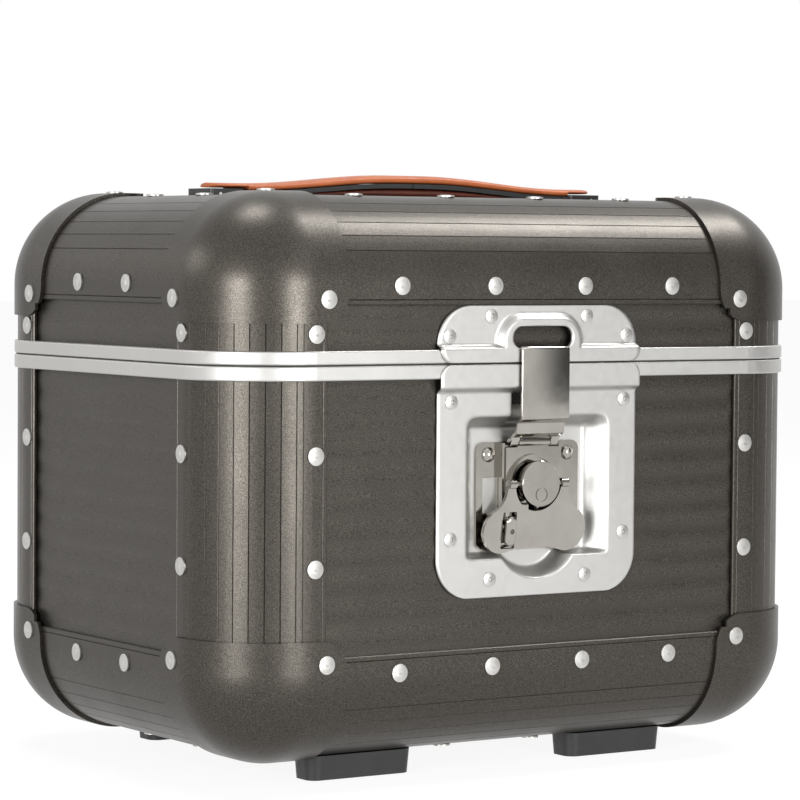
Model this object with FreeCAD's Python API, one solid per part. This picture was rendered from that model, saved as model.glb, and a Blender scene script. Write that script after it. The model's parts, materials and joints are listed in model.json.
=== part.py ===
import FreeCAD, Part
import math
import os
from FreeCAD import Vector

# Riveted aluminium beauty case with a hinged lid, a butterfly latch and a leather handle.
# Millimetres. X runs along the latch face, Y from the latch face (front, -Y) to the hinges
# (rear, +Y), Z up. The origin is the middle of the footprint, on the plane of the feet.
# "Depth" is always counted inwards from the flange plane of a face, so a depth below zero
# stands proud of it. Heights named *_below_seam and *_above_seam start at the seam between
# the base and the lid.

# Shell, to the outer planes of the flanges
CASE_WIDTH = 325.0
CASE_DEPTH = 233.1
BASE_HEIGHT = 177.3
LID_HEIGHT = 75.2
FOOT_HEIGHT = 11.2
EDGE_RADIUS = 42.2

# Edge extrusions: the rails along the top and bottom edges and the posts at the corners
FLANGE_THICKNESS = 1.6
FLANGE_REACH = 48.8
FLANGE_CHAMFER = 0.4
POST_GROOVES = 8
POST_GROOVE_PITCH_DEG = 9.5
POST_SHOULDER_GROOVE_DEG = 7.4
RAIL_GROOVES = 5
RAIL_GROOVE_PITCH_DEG = 10.3
GROOVE_WIDTH = 0.55
GROOVE_DEPTH = 0.32
LIP_WIDTH = 2.3
END_GAP = 0.15
MITRE_OVERRUN = 5.0

# Ribbed sheet panels
PANEL_THICKNESS = 1.2
PANEL_SEAT_GAP = 0.4
RIB_PITCH = 12.0
RIB_HEIGHT = 0.45
PANEL_MARGIN = 37.4

# Ball corner caps
CAP_THICKNESS = 1.6
CAP_GAP = 0.1
CAP_REACH_SIDE = 59.2
CAP_REACH_UP = 56.8
CAP_OUTLINE_RADIUS = 15.0
CAP_NOTCH = 1.6
CAP_RIVET_SIDE = 47.9
CAP_RIVET_UP = 46.3
CAP_COVER_RIVET_SIDE = 44.5

# Frames that close the two shells, and the seal between them
FRAME_PROUD = 1.6
BASE_FRAME_HEIGHT = 6.8
LID_FRAME_HEIGHT = 6.4
FRAME_INNER_DEPTH = 5.4
FRAME_EDGE_RADIUS = 0.8
FRAME_SKIRT = 2.4
FRAME_SKIRT_WALL = 1.2
SEAM_GAP = 0.5
SEAL_INSET = 0.9
SEAL_WIDTH = 2.4
SEAL_DEPTH = 1.6
SEAL_CLEARANCE = 0.06

# Solid rivets
RIVET_HEAD_RADIUS = 4.05
RIVET_HEAD_RIM = 0.7
RIVET_HEAD_HEIGHT = 1.05
RIVET_SHANK_RADIUS = 1.7
RIVET_TAIL_RADIUS = 2.6
RIVET_TAIL_HEIGHT = 0.8
RIVET_TAIL_GAP = 0.1
HOLE_CLEARANCE = 0.05
HOLE_OVERRUN = 2.0
EDGE_TRIM = 0.05
RAIL_RIVET_FROM_EDGE = 40.3
LONG_RAIL_RIVETS = 4
LONG_RIVET_PITCH = 50.2
SHORT_RAIL_RIVETS = 2
SHORT_RIVET_PITCH = 46.0
POST_RIVET_FROM_EDGE = 42.7
LID_POST_RIVET_ABOVE_SEAM = 13.7
BASE_POST_RIVET_BELOW_SEAM = 39.5
BASE_POST_RIVET_ABOVE_EDGE = 88.3

# Feet
FOOT_LENGTH = 56.0
FOOT_WIDTH = 18.0
FOOT_CORNER_RADIUS = 6.0
FOOT_TAPER = 1.0
FOOT_CENTRE_X = 72.0
FOOT_INSET_Y = 34.5
FOOT_SCREW_OFFSET = 18.0
SCREW_SHANK_RADIUS = 1.6
SCREW_HEAD_RADIUS = 3.2
SCREW_HEAD_HEIGHT = 1.8
COUNTERBORE_CLEARANCE = 0.4
FOOT_SCREW_RECESS = 3.0

# Keeper plate on the lid and dish plate on the base
PLATE_WIDTH = 111.0
PLATE_SKIN = 1.2
PLATE_FACE_DEPTH = 0.45
PLATE_EDGE_GAP = 0.1
PLATE_CORNER_RADIUS = 18.0
PLATE_SEAM_CORNER_RADIUS = 5.5
PLATE_SEAM_CLEARANCE = 0.35
PLATE_TO_FRAME = 0.05
CREASE_RADIUS = 0.8
STEP_LAP = 0.3
KEEPER_STEP = (6.7, 1.8)
DISH_STEP = (10.2, 3.6)
HINGE_STEP = (7.4, 2.6)
KEEPER_UPPER_RIVET = (26.7, 21.2)
KEEPER_LOWER_RIVET = (49.4, 12.3)
KEEPER_PAD_HALF_BASE = 24.6
KEEPER_PAD_RADIUS = 14.0
KEEPER_PAD_TOP = 23.6
KEEPER_PAD_SLOPE = 3.0
KEEPER_SLOT_LENGTH = 32.6
KEEPER_SLOT_HEIGHT = 10.0
KEEPER_SLOT_CENTRE = 11.6
DISH_HEIGHT = 106.0
DISH_RIVETS = ((48.2, 17.2), (48.2, 78.9), (26.6, 97.7))
POCKET_HALF_WIDTH = 41.8
POCKET_TOP_BELOW_SEAM = 22.0
POCKET_BOTTOM_BELOW_SEAM = 89.2
POCKET_DEPTH = 10.3
POCKET_WALL_RUN = 3.0
POCKET_CUTOUT_GAP = 0.8
RAIL_NOTCH_GAP = 0.4
POCKET_TOP_RADIUS = 12.0
POCKET_BOTTOM_RADIUS = 8.0
FINGER_BULGE_RADIUS = 25.9
FINGER_BULGE_BELOW_SEAM = 73.7
FINGER_BLEND_RADIUS = 6.0
BLIND_RIVET_RADIUS = 3.3
BLIND_RIVET_RIM = 0.45
BLIND_RIVET_HEIGHT = 0.9
BLIND_RIVET_HOLE_RADIUS = 1.2
BLIND_RIVET_HOLE_DEPTH = 1.4

# Latch, about the rotor axis
ROTOR_BELOW_SEAM = 55.0
LATCH_PLATE_HALF_WIDTH = 28.5
LATCH_PLATE_TOP = 18.9
LATCH_PLATE_BOTTOM = 30.6
LATCH_PLATE_THICKNESS = 1.45
LATCH_PLATE_RADIUS = 4.0
LATCH_RIVET_X = 22.0
LATCH_RIVET_TOP = 13.2
LATCH_RIVET_BOTTOM = 23.0
LATCH_RIVET_RADIUS = 3.4
LATCH_RIVET_RIM = 0.45
LATCH_RIVET_HEIGHT = 2.3
STRIKE_WINDOW = (-25.0, -16.8, -13.5, 2.8)
GUIDE_WALL = 1.4
GUIDE_HEIGHT = 3.3
GUIDE_BOTTOM = 17.0
GUIDE_TOP = 18.5
CARRIAGE_HALF_WIDTH = 14.9
CARRIAGE_TOP = 16.4
CARRIAGE_BOTTOM = 17.0
CARRIAGE_THICKNESS = 1.5
CARRIAGE_FACE_DEPTH = 4.6
SLIDE_CLEARANCE = 0.15
COLLAR_RADIUS = 13.3
COLLAR_WALL = 1.3
COLLAR_HEIGHT = 1.6
COLLAR_HALF_ANGLE = 100.0
ECCENTRICITY = 5.0
ECCENTRIC_PIN_RADIUS = 2.8
ECCENTRIC_RING_RADIUS = 3.3
ECCENTRIC_RING_WIDTH = 0.5
ECCENTRIC_RING_DEPTH = 0.5
ECCENTRIC_SLOT_PLAY = 1.25
SHAFT_RADIUS = 2.0
DISC_RADIUS = 10.5
DISC_THICKNESS = 2.0
DISC_CHAMFER = 0.4
DISC_PROUD = 2.4
BARREL_RADIUS = 9.5
BARREL_THICKNESS = 3.0
FOLD_AXIS_DEPTH = 0.5
FOLD_PIN_RADIUS = 1.1
FOLD_KNUCKLE_RADIUS = 2.1
WING_THICKNESS = 1.8
WING_TILT_DEG = 8.0
WING_CUTOUT_RADIUS = 12.7
HORN_OUTER = 16.4
LOBE_CENTRE = (18.2, 21.6)
LOBE_RADIUS = 10.2
LOBE_START_DEG = 65.0
LOBE_END_DEG = 250.0
WAIST_START = (17.1, 4.0)
WAIST_BEND = (19.0, 8.8)
WING_BOTTOM_MIDDLE = 29.3
LOCK_CENTRE = (-14.6, 21.2)
LOCK_SLOT = (7.7, 17.0)
LOCK_SLOT_RADIUS = 0.8
LOCK_HEAD = (5.8, 13.8)
LOCK_HEAD_HEIGHT = 2.6
LOCK_HEAD_ROUND = 1.3
LOCK_NECK_RADIUS = 2.88
LOCK_RUNNING_GAP = 0.3
KEYHOLE_RADIUS = 1.2
KEYHOLE_DEPTH = 1.8
CAM_THICKNESS = 1.1
CAM_LENGTH = 7.0
CAM_HALF_WIDTH = 2.6
HASP_HINGE_ABOVE_ROTOR = 18.8
HASP_HINGE_DEPTH = 5.0
HASP_KNUCKLE_RADIUS = 1.9
HASP_PIN_RADIUS = 0.9
HASP_KNUCKLE_HALF = 8.6
HASP_HALF_WIDTH = 13.2
HASP_THICKNESS = 1.4
HASP_STEP_LOW = 23.2
HASP_STEP_HIGH = 30.8
HASP_STEP_LAP = 0.33
HASP_BEND_RADIUS = 1.0
HASP_TOP = 62.8
HASP_PROUD = 5.2
HASP_RETURN_GAP = 0.3
HASP_RELIEF_CLEARANCE = 0.5
HASP_BEND_FROM_HINGE = 1.0
HASP_BEND_FROM_TOP = 5.0
RUNNING_CLEARANCE = 0.05
AXIAL_CLEARANCE = 0.3

# Rear hinges
HINGE_CENTRE_X = 76.0
HINGE_WIDTH = 50.0
HINGE_KNUCKLE_RADIUS = 1.75
HINGE_PIN_RADIUS = 0.85
HINGE_CENTRE_KNUCKLE = 18.0
HINGE_LEAF_HEIGHT = 25.0
HINGE_RIVET_FROM_SEAM = 19.0
HINGE_RIVET_X = 15.0

# Handle
GRIP_HALF_LENGTH = 108.0
GRIP_WIDTH = 24.0
GRIP_END_RADIUS = 9.0
GRIP_END_HEIGHT = 6.2
GRIP_MIDDLE_HEIGHT = 11.3
CORE_THICKNESS = 2.1
CORE_WIDTH = 22.0
CORE_END_BOTTOM = 0.4
CORE_MIDDLE_BOTTOM = 5.0
HANDLE_RISE_START = 92.0
HANDLE_RISE_END = 8.0
HANDLE_CURVE_POINTS = 13
BELLY_BOTTOM = 0.8
BELLY_HALF_LENGTH = 50.0
PADDING_END = 62.0
BELLY_WIDTH = 19.0
LEATHER_GAP = 0.05
ANCHOR_HALF_LENGTH = 112.0
ANCHOR_LENGTH = 19.0
ANCHOR_WIDTH = 22.0
ANCHOR_HEIGHT = 3.4
ANCHOR_CORNER_RADIUS = 2.0
ANCHOR_SLOT_WIDTH = 10.0
ANCHOR_SCREW_INSET = 4.6
ANCHOR_SCREW_Y = 7.9
ANCHOR_SCREW_HEAD_RADIUS = 2.3
ANCHOR_SCREW_HEAD_HEIGHT = 1.4
LEATHER_ABOVE_ANCHOR = 0.5
LUG_CLEARANCE = 0.3
LUG_LAP = 2.0
LUG_EYE_RADIUS = 1.8
HANDLE_PIN_X = 106.5
HANDLE_PIN_HEIGHT = 0.9
HANDLE_PIN_RADIUS = 0.8
HANDLE_SLIDE = 3.5
HANDLE_MIDDLE_GAP = 0.3

# Inside
LINING_INSET = 6.0
LINING_THICKNESS = 2.5
LINING_SEAM_GAP = 0.8
COVER_HALF_WIDTH = 46.0
COVER_TOP_BELOW_SEAM = 17.6
COVER_BOTTOM_BELOW_SEAM = 104.0
COVER_RADIUS = 6.0
COVER_WALL = 1.5
COVER_TAIL_CLEARANCE = 0.75
COVER_FLANGE = 5.0
TRAY_DEPTH = 108.0
TRAY_HEIGHT = 40.0
TRAY_BELOW_SEAM = 10.0
TRAY_WALL = 2.0
TRAY_SIDE_CLEARANCE = 1.0
TRAY_CELLS = 3
TRAY_FRONT_RADIUS = 8.0
LEDGE_WIDTH = 6.0
LEDGE_HEIGHT = 5.0
LEDGE_CLEARANCE = 0.2
MIRROR_LENGTH = 190.0
MIRROR_WIDTH = 120.0
MIRROR_THICKNESS = 1.6
MIRROR_FRAME_BORDER = 7.0
MIRROR_FRAME_THICKNESS = 3.4
MIRROR_CORNER_RADIUS = 5.0
MIRROR_LIP = 2.5
MIRROR_LIP_THICKNESS = 1.0

# Working allowances: how far a cutting tool runs past what it cuts, how far two solids lap
# where they are joined, and when two measured places or directions count as the same
CUT_MARGIN = 1.0
JOIN_LAP = 1.0
MATCH_TOLERANCE = 1e-6
FACE_TOLERANCE = 0.01
PARALLEL_COSINE = 0.999
DIAGONAL = math.sqrt(0.5)

# Places that follow from the sizes above
HALF_X = CASE_WIDTH / 2
HALF_Y = CASE_DEPTH / 2
BOTTOM_Z = FOOT_HEIGHT
SEAM_Z = FOOT_HEIGHT + BASE_HEIGHT
TOP_Z = SEAM_Z + LID_HEIGHT
PANEL_DEPTH = FLANGE_THICKNESS + PANEL_SEAT_GAP
PANEL_BACK = PANEL_DEPTH + RIB_HEIGHT + PANEL_THICKNESS
TAIL_DEPTH = PANEL_BACK + RIVET_TAIL_GAP
HOLE_REACH = PANEL_BACK + HOLE_OVERRUN
KEEPER_HEIGHT = LID_HEIGHT - FLANGE_REACH - PLATE_EDGE_GAP
BASE_FRAME_TOP = SEAM_Z - SEAM_GAP / 2
LID_FRAME_BOTTOM = SEAM_Z + SEAM_GAP / 2
BASE_FRAME_BOTTOM = SEAM_Z - BASE_FRAME_HEIGHT
LID_FRAME_TOP = SEAM_Z + LID_FRAME_HEIGHT
STEP_PROUD = FRAME_PROUD + PLATE_TO_FRAME
ROTOR_Z = SEAM_Z - ROTOR_BELOW_SEAM
LATCH_PLATE_FACE = POCKET_DEPTH - PLATE_TO_FRAME - LATCH_PLATE_THICKNESS
LATCH_TAIL_DEPTH = POCKET_DEPTH + PLATE_SKIN + HOLE_CLEARANCE
COVER_FACE_DEPTH = LATCH_TAIL_DEPTH + RIVET_TAIL_HEIGHT + COVER_TAIL_CLEARANCE + COVER_WALL
WING_LIFT = 2 * ECCENTRICITY
HINGE_AXIS_Y = HALF_Y + STEP_PROUD + PLATE_TO_FRAME + HINGE_KNUCKLE_RADIUS

X_AXIS = Vector(1, 0, 0)
Y_AXIS = Vector(0, 1, 0)
Z_AXIS = Vector(0, 0, 1)


# ---- helpers ----------------------------------------------------------------------------

def save(name, solids):
    """Write one node and report its solids."""
    shape = Part.makeCompound(solids) if len(solids) > 1 else solids[0]
    shape.exportStep("parts/" + name + ".step")
    print(name, len(shape.Solids), "valid" if shape.isValid() else "INVALID")


def block(x0, x1, y0, y1, z0, z1):
    return Part.makeBox(x1 - x0, y1 - y0, z1 - z0, Vector(x0, y0, z0))


def cylinder(axis, start, radius, length):
    return Part.makeCylinder(radius, length, start, axis)


def pin_across(axis, centre, radius, length):
    """A cylinder whose middle is at centre."""
    return cylinder(axis, centre - axis * (length / 2), radius, length)


def turned(shape, centre, axis, degrees):
    copy = shape.copy()
    copy.rotate(centre, axis, degrees)
    return copy


def moved(shape, x, y, z):
    copy = shape.copy()
    copy.translate(Vector(x, y, z))
    return copy


def line(start, end):
    return Part.LineSegment(start, end).toShape()


def arc(start, middle, end):
    return Part.Arc(start, middle, end).toShape()


def face_of(edges):
    return Part.Face(Part.Wire(Part.__sortEdges__(edges)))


def polygon_face(points):
    return Part.Face(Part.makePolygon(list(points) + [points[0]]))


def edge_middle(edge):
    first, last = edge.ParameterRange
    return edge.valueAt((first + last) / 2)


def runs_along(edge, axis):
    """True for a straight edge that runs along axis."""
    if edge.Curve.TypeId != "Part::GeomLine":
        return False
    return abs(edge.tangentAt(edge.FirstParameter).dot(axis)) > PARALLEL_COSINE


def round_edges(shape, radius, wanted):
    """Round the edges that wanted(edge) picks."""
    return shape.makeFillet(radius, [edge for edge in shape.Edges if wanted(edge)])


def rounded_edges_of(place, low, high, radii):
    """The edges of a rectangle with round corners.

    place(a, b) puts a drawing point in space. The radii start at the corner of the highest a
    and the lowest b, and go round by way of the corner of the highest a and the highest b."""
    (a0, b0), (a1, b1) = low, high
    corners = ((a1, b0, -1, 1), (a1, b1, -1, -1), (a0, b1, 1, -1), (a0, b0, 1, 1))
    edges = []
    joints = []
    for index, ((a, b, side_a, side_b), radius) in enumerate(zip(corners, radii)):
        slant = radius * (1 - DIAGONAL)
        ends = [place(a + side_a * radius, b), place(a, b + side_b * radius)]
        if index % 2:
            ends.reverse()
        edges.append(arc(ends[0], place(a + side_a * slant, b + side_b * slant), ends[1]))
        joints.append(ends)
    for index in range(4):
        edges.append(line(joints[index][1], joints[(index + 1) % 4][0]))
    return edges


def rounded_face(place, low, high, radii):
    return face_of(rounded_edges_of(place, low, high, radii))


def in_plan(z):
    """Places plan drawings at a height."""
    return lambda x, y: Vector(x, y, z)


def on_front(depth):
    """Places drawings of the latch face at a depth, with heights counted from the seam."""
    return lambda x, height: Vector(x, depth - HALF_Y, SEAM_Z + height)


def rounded_slab(x0, x1, y0, y1, radius, z0, z1):
    face = rounded_face(in_plan(z0), (x0, y0), (x1, y1), [radius] * 4)
    return face.extrude(Vector(0, 0, z1 - z0))


def case_slab(inset, z0, z1):
    """A slab of the case's own plan, drawn in by inset."""
    half_x = HALF_X - inset
    half_y = HALF_Y - inset
    return rounded_slab(-half_x, half_x, -half_y, half_y, EDGE_RADIUS - inset, z0, z1)


def case_ring(inset_out, inset_in, z0, z1, edge_radius=0.0):
    """A band between two insets; edge_radius rounds its outer edges."""
    solid = case_slab(inset_out, z0, z1)
    if edge_radius:
        solid = round_edges(solid, edge_radius, lambda edge: not runs_along(edge, Z_AXIS))
    return solid.cut(case_slab(inset_in, z0 - CUT_MARGIN, z1 + CUT_MARGIN))


def case_tub(inset, lid):
    """The case's round-edged volume of one shell, drawn in by inset, up to the seam."""
    low = SEAM_Z if lid else BOTTOM_Z + inset
    high = TOP_Z - inset if lid else SEAM_Z
    closed_z = high if lid else low
    solid = block(inset - HALF_X, HALF_X - inset, inset - HALF_Y, HALF_Y - inset, low, high)

    def round_here(edge):
        return runs_along(edge, Z_AXIS) or abs(edge_middle(edge).z - closed_z) < MATCH_TOLERANCE

    return round_edges(solid, EDGE_RADIUS - inset, round_here)


# ---- faces of the shell ------------------------------------------------------------------

class ShellFace:
    """One outer face: a point is placed by two in-plane distances and a depth."""

    def __init__(self, normal, along, up, plane):
        self.normal = normal
        self.along = along
        self.up = up
        self.plane = plane

    def point(self, along, up, depth):
        return self.along * along + self.up * up + self.normal * (self.plane - depth)


FRONT = ShellFace(-Y_AXIS, X_AXIS, Z_AXIS, HALF_Y)
REAR = ShellFace(Y_AXIS, X_AXIS, Z_AXIS, HALF_Y)
LEFT = ShellFace(-X_AXIS, Y_AXIS, Z_AXIS, HALF_X)
RIGHT = ShellFace(X_AXIS, Y_AXIS, Z_AXIS, HALF_X)
TOP = ShellFace(Z_AXIS, X_AXIS, Y_AXIS, TOP_Z)
BOTTOM = ShellFace(-Z_AXIS, X_AXIS, Y_AXIS, -BOTTOM_Z)
LONG_WALLS = (FRONT, REAR)
SHORT_WALLS = (LEFT, RIGHT)


def half_length(face):
    return HALF_X if face in LONG_WALLS else HALF_Y


# ---- rivets and screws -------------------------------------------------------------------

def dome_rivet(seat_depth, head_radius=RIVET_HEAD_RADIUS, rim=RIVET_HEAD_RIM,
               head_height=RIVET_HEAD_HEIGHT, tail_depth=TAIL_DEPTH):
    """A rivet along Z: its head stands on z = 0 and its tail lies behind the skins.

    The head has a straight rim and a dome from there to its full height."""
    grip = tail_depth - seat_depth
    rise = head_height - rim
    curve_radius = (head_radius ** 2 + rise ** 2) / (2 * rise)
    half_angle = math.asin(head_radius / curve_radius) / 2
    between = Vector(curve_radius * math.sin(half_angle), 0,
                     head_height - curve_radius * (1 - math.cos(half_angle)))
    outline = [Vector(0, 0, head_height), Vector(0, 0, -grip - RIVET_TAIL_HEIGHT),
               Vector(RIVET_TAIL_RADIUS, 0, -grip - RIVET_TAIL_HEIGHT),
               Vector(RIVET_TAIL_RADIUS, 0, -grip), Vector(RIVET_SHANK_RADIUS, 0, -grip),
               Vector(RIVET_SHANK_RADIUS, 0, 0), Vector(head_radius, 0, 0),
               Vector(head_radius, 0, rim)]
    edges = [line(start, end) for start, end in zip(outline, outline[1:])]
    edges.append(arc(outline[-1], between, outline[0]))
    return face_of(edges).revolve(Vector(0, 0, 0), Z_AXIS, 360)


def blind_rivet(seat_depth):
    """A blind rivet: a low dome with the open end of its mandrel hole."""
    body = dome_rivet(seat_depth, BLIND_RIVET_RADIUS, BLIND_RIVET_RIM, BLIND_RIVET_HEIGHT)
    floor = Vector(0, 0, BLIND_RIVET_HEIGHT - BLIND_RIVET_HOLE_DEPTH)
    hole = cylinder(Z_AXIS, floor, BLIND_RIVET_HOLE_RADIUS, 2 * BLIND_RIVET_HOLE_DEPTH)
    return body.cut(hole)


def screw(head_radius, head_height, length):
    """A flat-headed screw along Z: its head reaches up to z = 0, its shank points down."""
    head = cylinder(Z_AXIS, Vector(0, 0, -head_height), head_radius, head_height)
    shank = cylinder(-Z_AXIS, Vector(0, 0, -head_height / 2), SCREW_SHANK_RADIUS, length)
    return head.fuse(shank).removeSplitter()


def placed_on(face, solid, along, up, depth):
    """Put a solid drawn about +Z on a face, with +Z turned to the face's normal."""
    copy = solid.copy()
    turn = FreeCAD.Rotation(Z_AXIS, face.normal)
    copy.Placement = FreeCAD.Placement(face.point(along, up, depth), turn)
    return copy


def hole_at(face, along, up, radius=RIVET_SHANK_RADIUS + HOLE_CLEARANCE):
    """A cutter through the skins of a face."""
    start = face.point(along, up, HOLE_REACH)
    return cylinder(face.normal, start, radius, 2 * HOLE_REACH)


def rail_rivet_places(lid):
    """(face, along, up) of the rivets in the four rails of one shell."""
    places = []
    edge_z = TOP_Z - RAIL_RIVET_FROM_EDGE if lid else BOTTOM_Z + RAIL_RIVET_FROM_EDGE
    cover = TOP if lid else BOTTOM
    for index in range(LONG_RAIL_RIVETS):
        along = (index - (LONG_RAIL_RIVETS - 1) / 2) * LONG_RIVET_PITCH
        places += [(wall, along, edge_z) for wall in LONG_WALLS]
        under_a_foot = not lid and abs(abs(along) - FOOT_CENTRE_X) < FOOT_LENGTH / 2
        if not under_a_foot:
            places += [(cover, along, side * (HALF_Y - RAIL_RIVET_FROM_EDGE))
                       for side in (-1, 1)]
    for index in range(SHORT_RAIL_RIVETS):
        along = (index - (SHORT_RAIL_RIVETS - 1) / 2) * SHORT_RIVET_PITCH
        places += [(wall, along, edge_z) for wall in SHORT_WALLS]
        places += [(cover, side * (HALF_X - RAIL_RIVET_FROM_EDGE), along) for side in (-1, 1)]
    return places


def post_rivet_places(lid):
    if lid:
        heights = [SEAM_Z + LID_POST_RIVET_ABOVE_SEAM]
    else:
        heights = [SEAM_Z - BASE_POST_RIVET_BELOW_SEAM, BOTTOM_Z + BASE_POST_RIVET_ABOVE_EDGE]
    return [(wall, side * (half_length(wall) - POST_RIVET_FROM_EDGE), height)
            for wall in LONG_WALLS + SHORT_WALLS for side in (-1, 1) for height in heights]


def cap_rivet_places(lid):
    height = TOP_Z - CAP_RIVET_UP if lid else BOTTOM_Z + CAP_RIVET_UP
    cover = TOP if lid else BOTTOM
    places = [(wall, side * (half_length(wall) - CAP_RIVET_SIDE), height)
              for wall in LONG_WALLS + SHORT_WALLS for side in (-1, 1)]
    places += [(cover, side_x * (HALF_X - CAP_COVER_RIVET_SIDE), side_y * (HALF_Y - CAP_RIVET_UP))
               for side_x in (-1, 1) for side_y in (-1, 1)]
    return places


def hinge_rivet_places(lid):
    height = SEAM_Z + (HINGE_RIVET_FROM_SEAM if lid else -HINGE_RIVET_FROM_SEAM)
    return [(REAR, side * HINGE_CENTRE_X + offset, height)
            for side in (-1, 1) for offset in (-HINGE_RIVET_X, HINGE_RIVET_X)]


def keeper_rivet_places():
    return [(FRONT, side * x, SEAM_Z + z) for side in (-1, 1)
            for x, z in (KEEPER_UPPER_RIVET, KEEPER_LOWER_RIVET)]


def dish_rivet_places():
    return [(FRONT, side * x, SEAM_Z - z) for side in (-1, 1) for x, z in DISH_RIVETS]


def latch_rivet_places():
    return [(FRONT, side * LATCH_RIVET_X, ROTOR_Z + z) for side in (-1, 1)
            for z in (LATCH_RIVET_TOP, -LATCH_RIVET_BOTTOM)]


def foot_centres():
    y = HALF_Y - FOOT_INSET_Y - FOOT_WIDTH / 2
    return [(side_x * FOOT_CENTRE_X, side_y * y) for side_x in (-1, 1) for side_y in (-1, 1)]


def foot_screw_places():
    return [(BOTTOM, x + offset, y) for x, y in foot_centres()
            for offset in (-FOOT_SCREW_OFFSET, FOOT_SCREW_OFFSET)]


def anchor_screw_places():
    x = ANCHOR_HALF_LENGTH - ANCHOR_LENGTH + ANCHOR_SCREW_INSET
    return [(TOP, side * x, y) for side in (-1, 1) for y in (-ANCHOR_SCREW_Y, ANCHOR_SCREW_Y)]


def shell_holes(lid):
    """Cutters for every fastener that goes through the skins of one shell."""
    places = rail_rivet_places(lid) + post_rivet_places(lid) + cap_rivet_places(lid)
    places += hinge_rivet_places(lid)
    places += keeper_rivet_places() if lid else dish_rivet_places()
    cutters = [hole_at(*place) for place in places]
    screws = anchor_screw_places() if lid else foot_screw_places()
    radius = SCREW_SHANK_RADIUS + HOLE_CLEARANCE
    return cutters + [hole_at(*place, radius=radius) for place in screws]


def drill(solid, cutters):
    """Cut only the holes that meet this solid."""
    near = [cutter for cutter in cutters if solid.BoundBox.intersect(cutter.BoundBox)]
    return solid.cut(near).Solids[0] if near else solid


# ---- edge extrusions -----------------------------------------------------------------------

def even_grooves(count, pitch):
    """Angles of grooves spread evenly about the middle of the quarter round."""
    return [45 + (index - (count - 1) / 2) * pitch for index in range(count)]


def post_grooves():
    shoulder = POST_SHOULDER_GROOVE_DEG
    return [shoulder] + even_grooves(POST_GROOVES, POST_GROOVE_PITCH_DEG) + [90 - shoulder]


def edge_section(corner, first, second, grooves):
    """The section of an edge extrusion, from the corner along two face directions.

    Its outside is a quarter round with fine V grooves and a lip line on each flange."""
    def at(u, v):
        return corner + first * u + second * v

    def on_arc(degrees, radius):
        angle = math.radians(degrees)
        return at(EDGE_RADIUS - radius * math.sin(angle), EDGE_RADIUS - radius * math.cos(angle))

    half_groove = GROOVE_WIDTH / 2
    half_groove_deg = math.degrees(half_groove / EDGE_RADIUS)
    lip = FLANGE_REACH - LIP_WIDTH
    end = FLANGE_REACH - FLANGE_CHAMFER
    bottom = EDGE_RADIUS - GROOVE_DEPTH
    inner = EDGE_RADIUS - FLANGE_THICKNESS
    edges = [line(at(FLANGE_REACH, FLANGE_CHAMFER), at(end, 0)),
             line(at(end, 0), at(lip + half_groove, 0)),
             line(at(lip + half_groove, 0), at(lip, GROOVE_DEPTH)),
             line(at(lip, GROOVE_DEPTH), at(lip - half_groove, 0)),
             line(at(lip - half_groove, 0), at(EDGE_RADIUS, 0))]
    reached = 0.0
    for angle in grooves:
        before = angle - half_groove_deg
        after = angle + half_groove_deg
        edges.append(arc(on_arc(reached, EDGE_RADIUS),
                         on_arc((reached + before) / 2, EDGE_RADIUS),
                         on_arc(before, EDGE_RADIUS)))
        edges.append(line(on_arc(before, EDGE_RADIUS), on_arc(angle, bottom)))
        edges.append(line(on_arc(angle, bottom), on_arc(after, EDGE_RADIUS)))
        reached = after
    edges += [arc(on_arc(reached, EDGE_RADIUS), on_arc((reached + 90) / 2, EDGE_RADIUS),
                  on_arc(90, EDGE_RADIUS)),
              line(at(0, EDGE_RADIUS), at(0, lip - half_groove)),
              line(at(0, lip - half_groove), at(GROOVE_DEPTH, lip)),
              line(at(GROOVE_DEPTH, lip), at(0, lip + half_groove)),
              line(at(0, lip + half_groove), at(0, end)),
              line(at(0, end), at(FLANGE_CHAMFER, FLANGE_REACH)),
              line(at(FLANGE_CHAMFER, FLANGE_REACH), at(FLANGE_THICKNESS, FLANGE_REACH)),
              line(at(FLANGE_THICKNESS, FLANGE_REACH), at(FLANGE_THICKNESS, EDGE_RADIUS)),
              arc(on_arc(90, inner), on_arc(45, inner), on_arc(0, inner)),
              line(at(EDGE_RADIUS, FLANGE_THICKNESS), at(FLANGE_REACH, FLANGE_THICKNESS)),
              line(at(FLANGE_REACH, FLANGE_THICKNESS), at(FLANGE_REACH, FLANGE_CHAMFER))]
    return Part.Face(Part.Wire(edges))


def mitre_keep(corner, length_axis, cross, other, length, both_ends):
    """The prism that keeps an extrusion clear of its neighbours at the case's corners.

    Seen along other, an end starts at the edge radius and then runs off at 45 degrees."""
    start = EDGE_RADIUS + END_GAP
    far = FLANGE_REACH + MITRE_OVERRUN

    def at(u, w):
        return corner + cross * u + length_axis * w - other * MITRE_OVERRUN

    outline = [at(-MITRE_OVERRUN, start), at(EDGE_RADIUS, start), at(far, far + END_GAP)]
    if both_ends:
        outline += [at(far, length - far - END_GAP), at(EDGE_RADIUS, length - start),
                    at(-MITRE_OVERRUN, length - start)]
    else:
        outline += [at(far, length), at(-MITRE_OVERRUN, length)]
    return polygon_face(outline).extrude(other * (far + MITRE_OVERRUN))


def edge_extrusion(corner, first, second, length_axis, length, grooves, both_ends=True):
    solid = edge_section(corner, first, second, grooves).extrude(length_axis * length)
    for cross, other in ((first, second), (second, first)):
        solid = solid.common(mitre_keep(corner, length_axis, cross, other, length, both_ends))
    return solid.Solids[0]


def dish_notch():
    """Room for the dish plate in the front rail's edge, on a base lower than the plate."""
    edge = RAIL_NOTCH_GAP
    return plate_outline(-DISH_HEIGHT - edge, edge, PLATE_CORNER_RADIUS + edge, EDGE_TRIM, edge)


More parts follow.
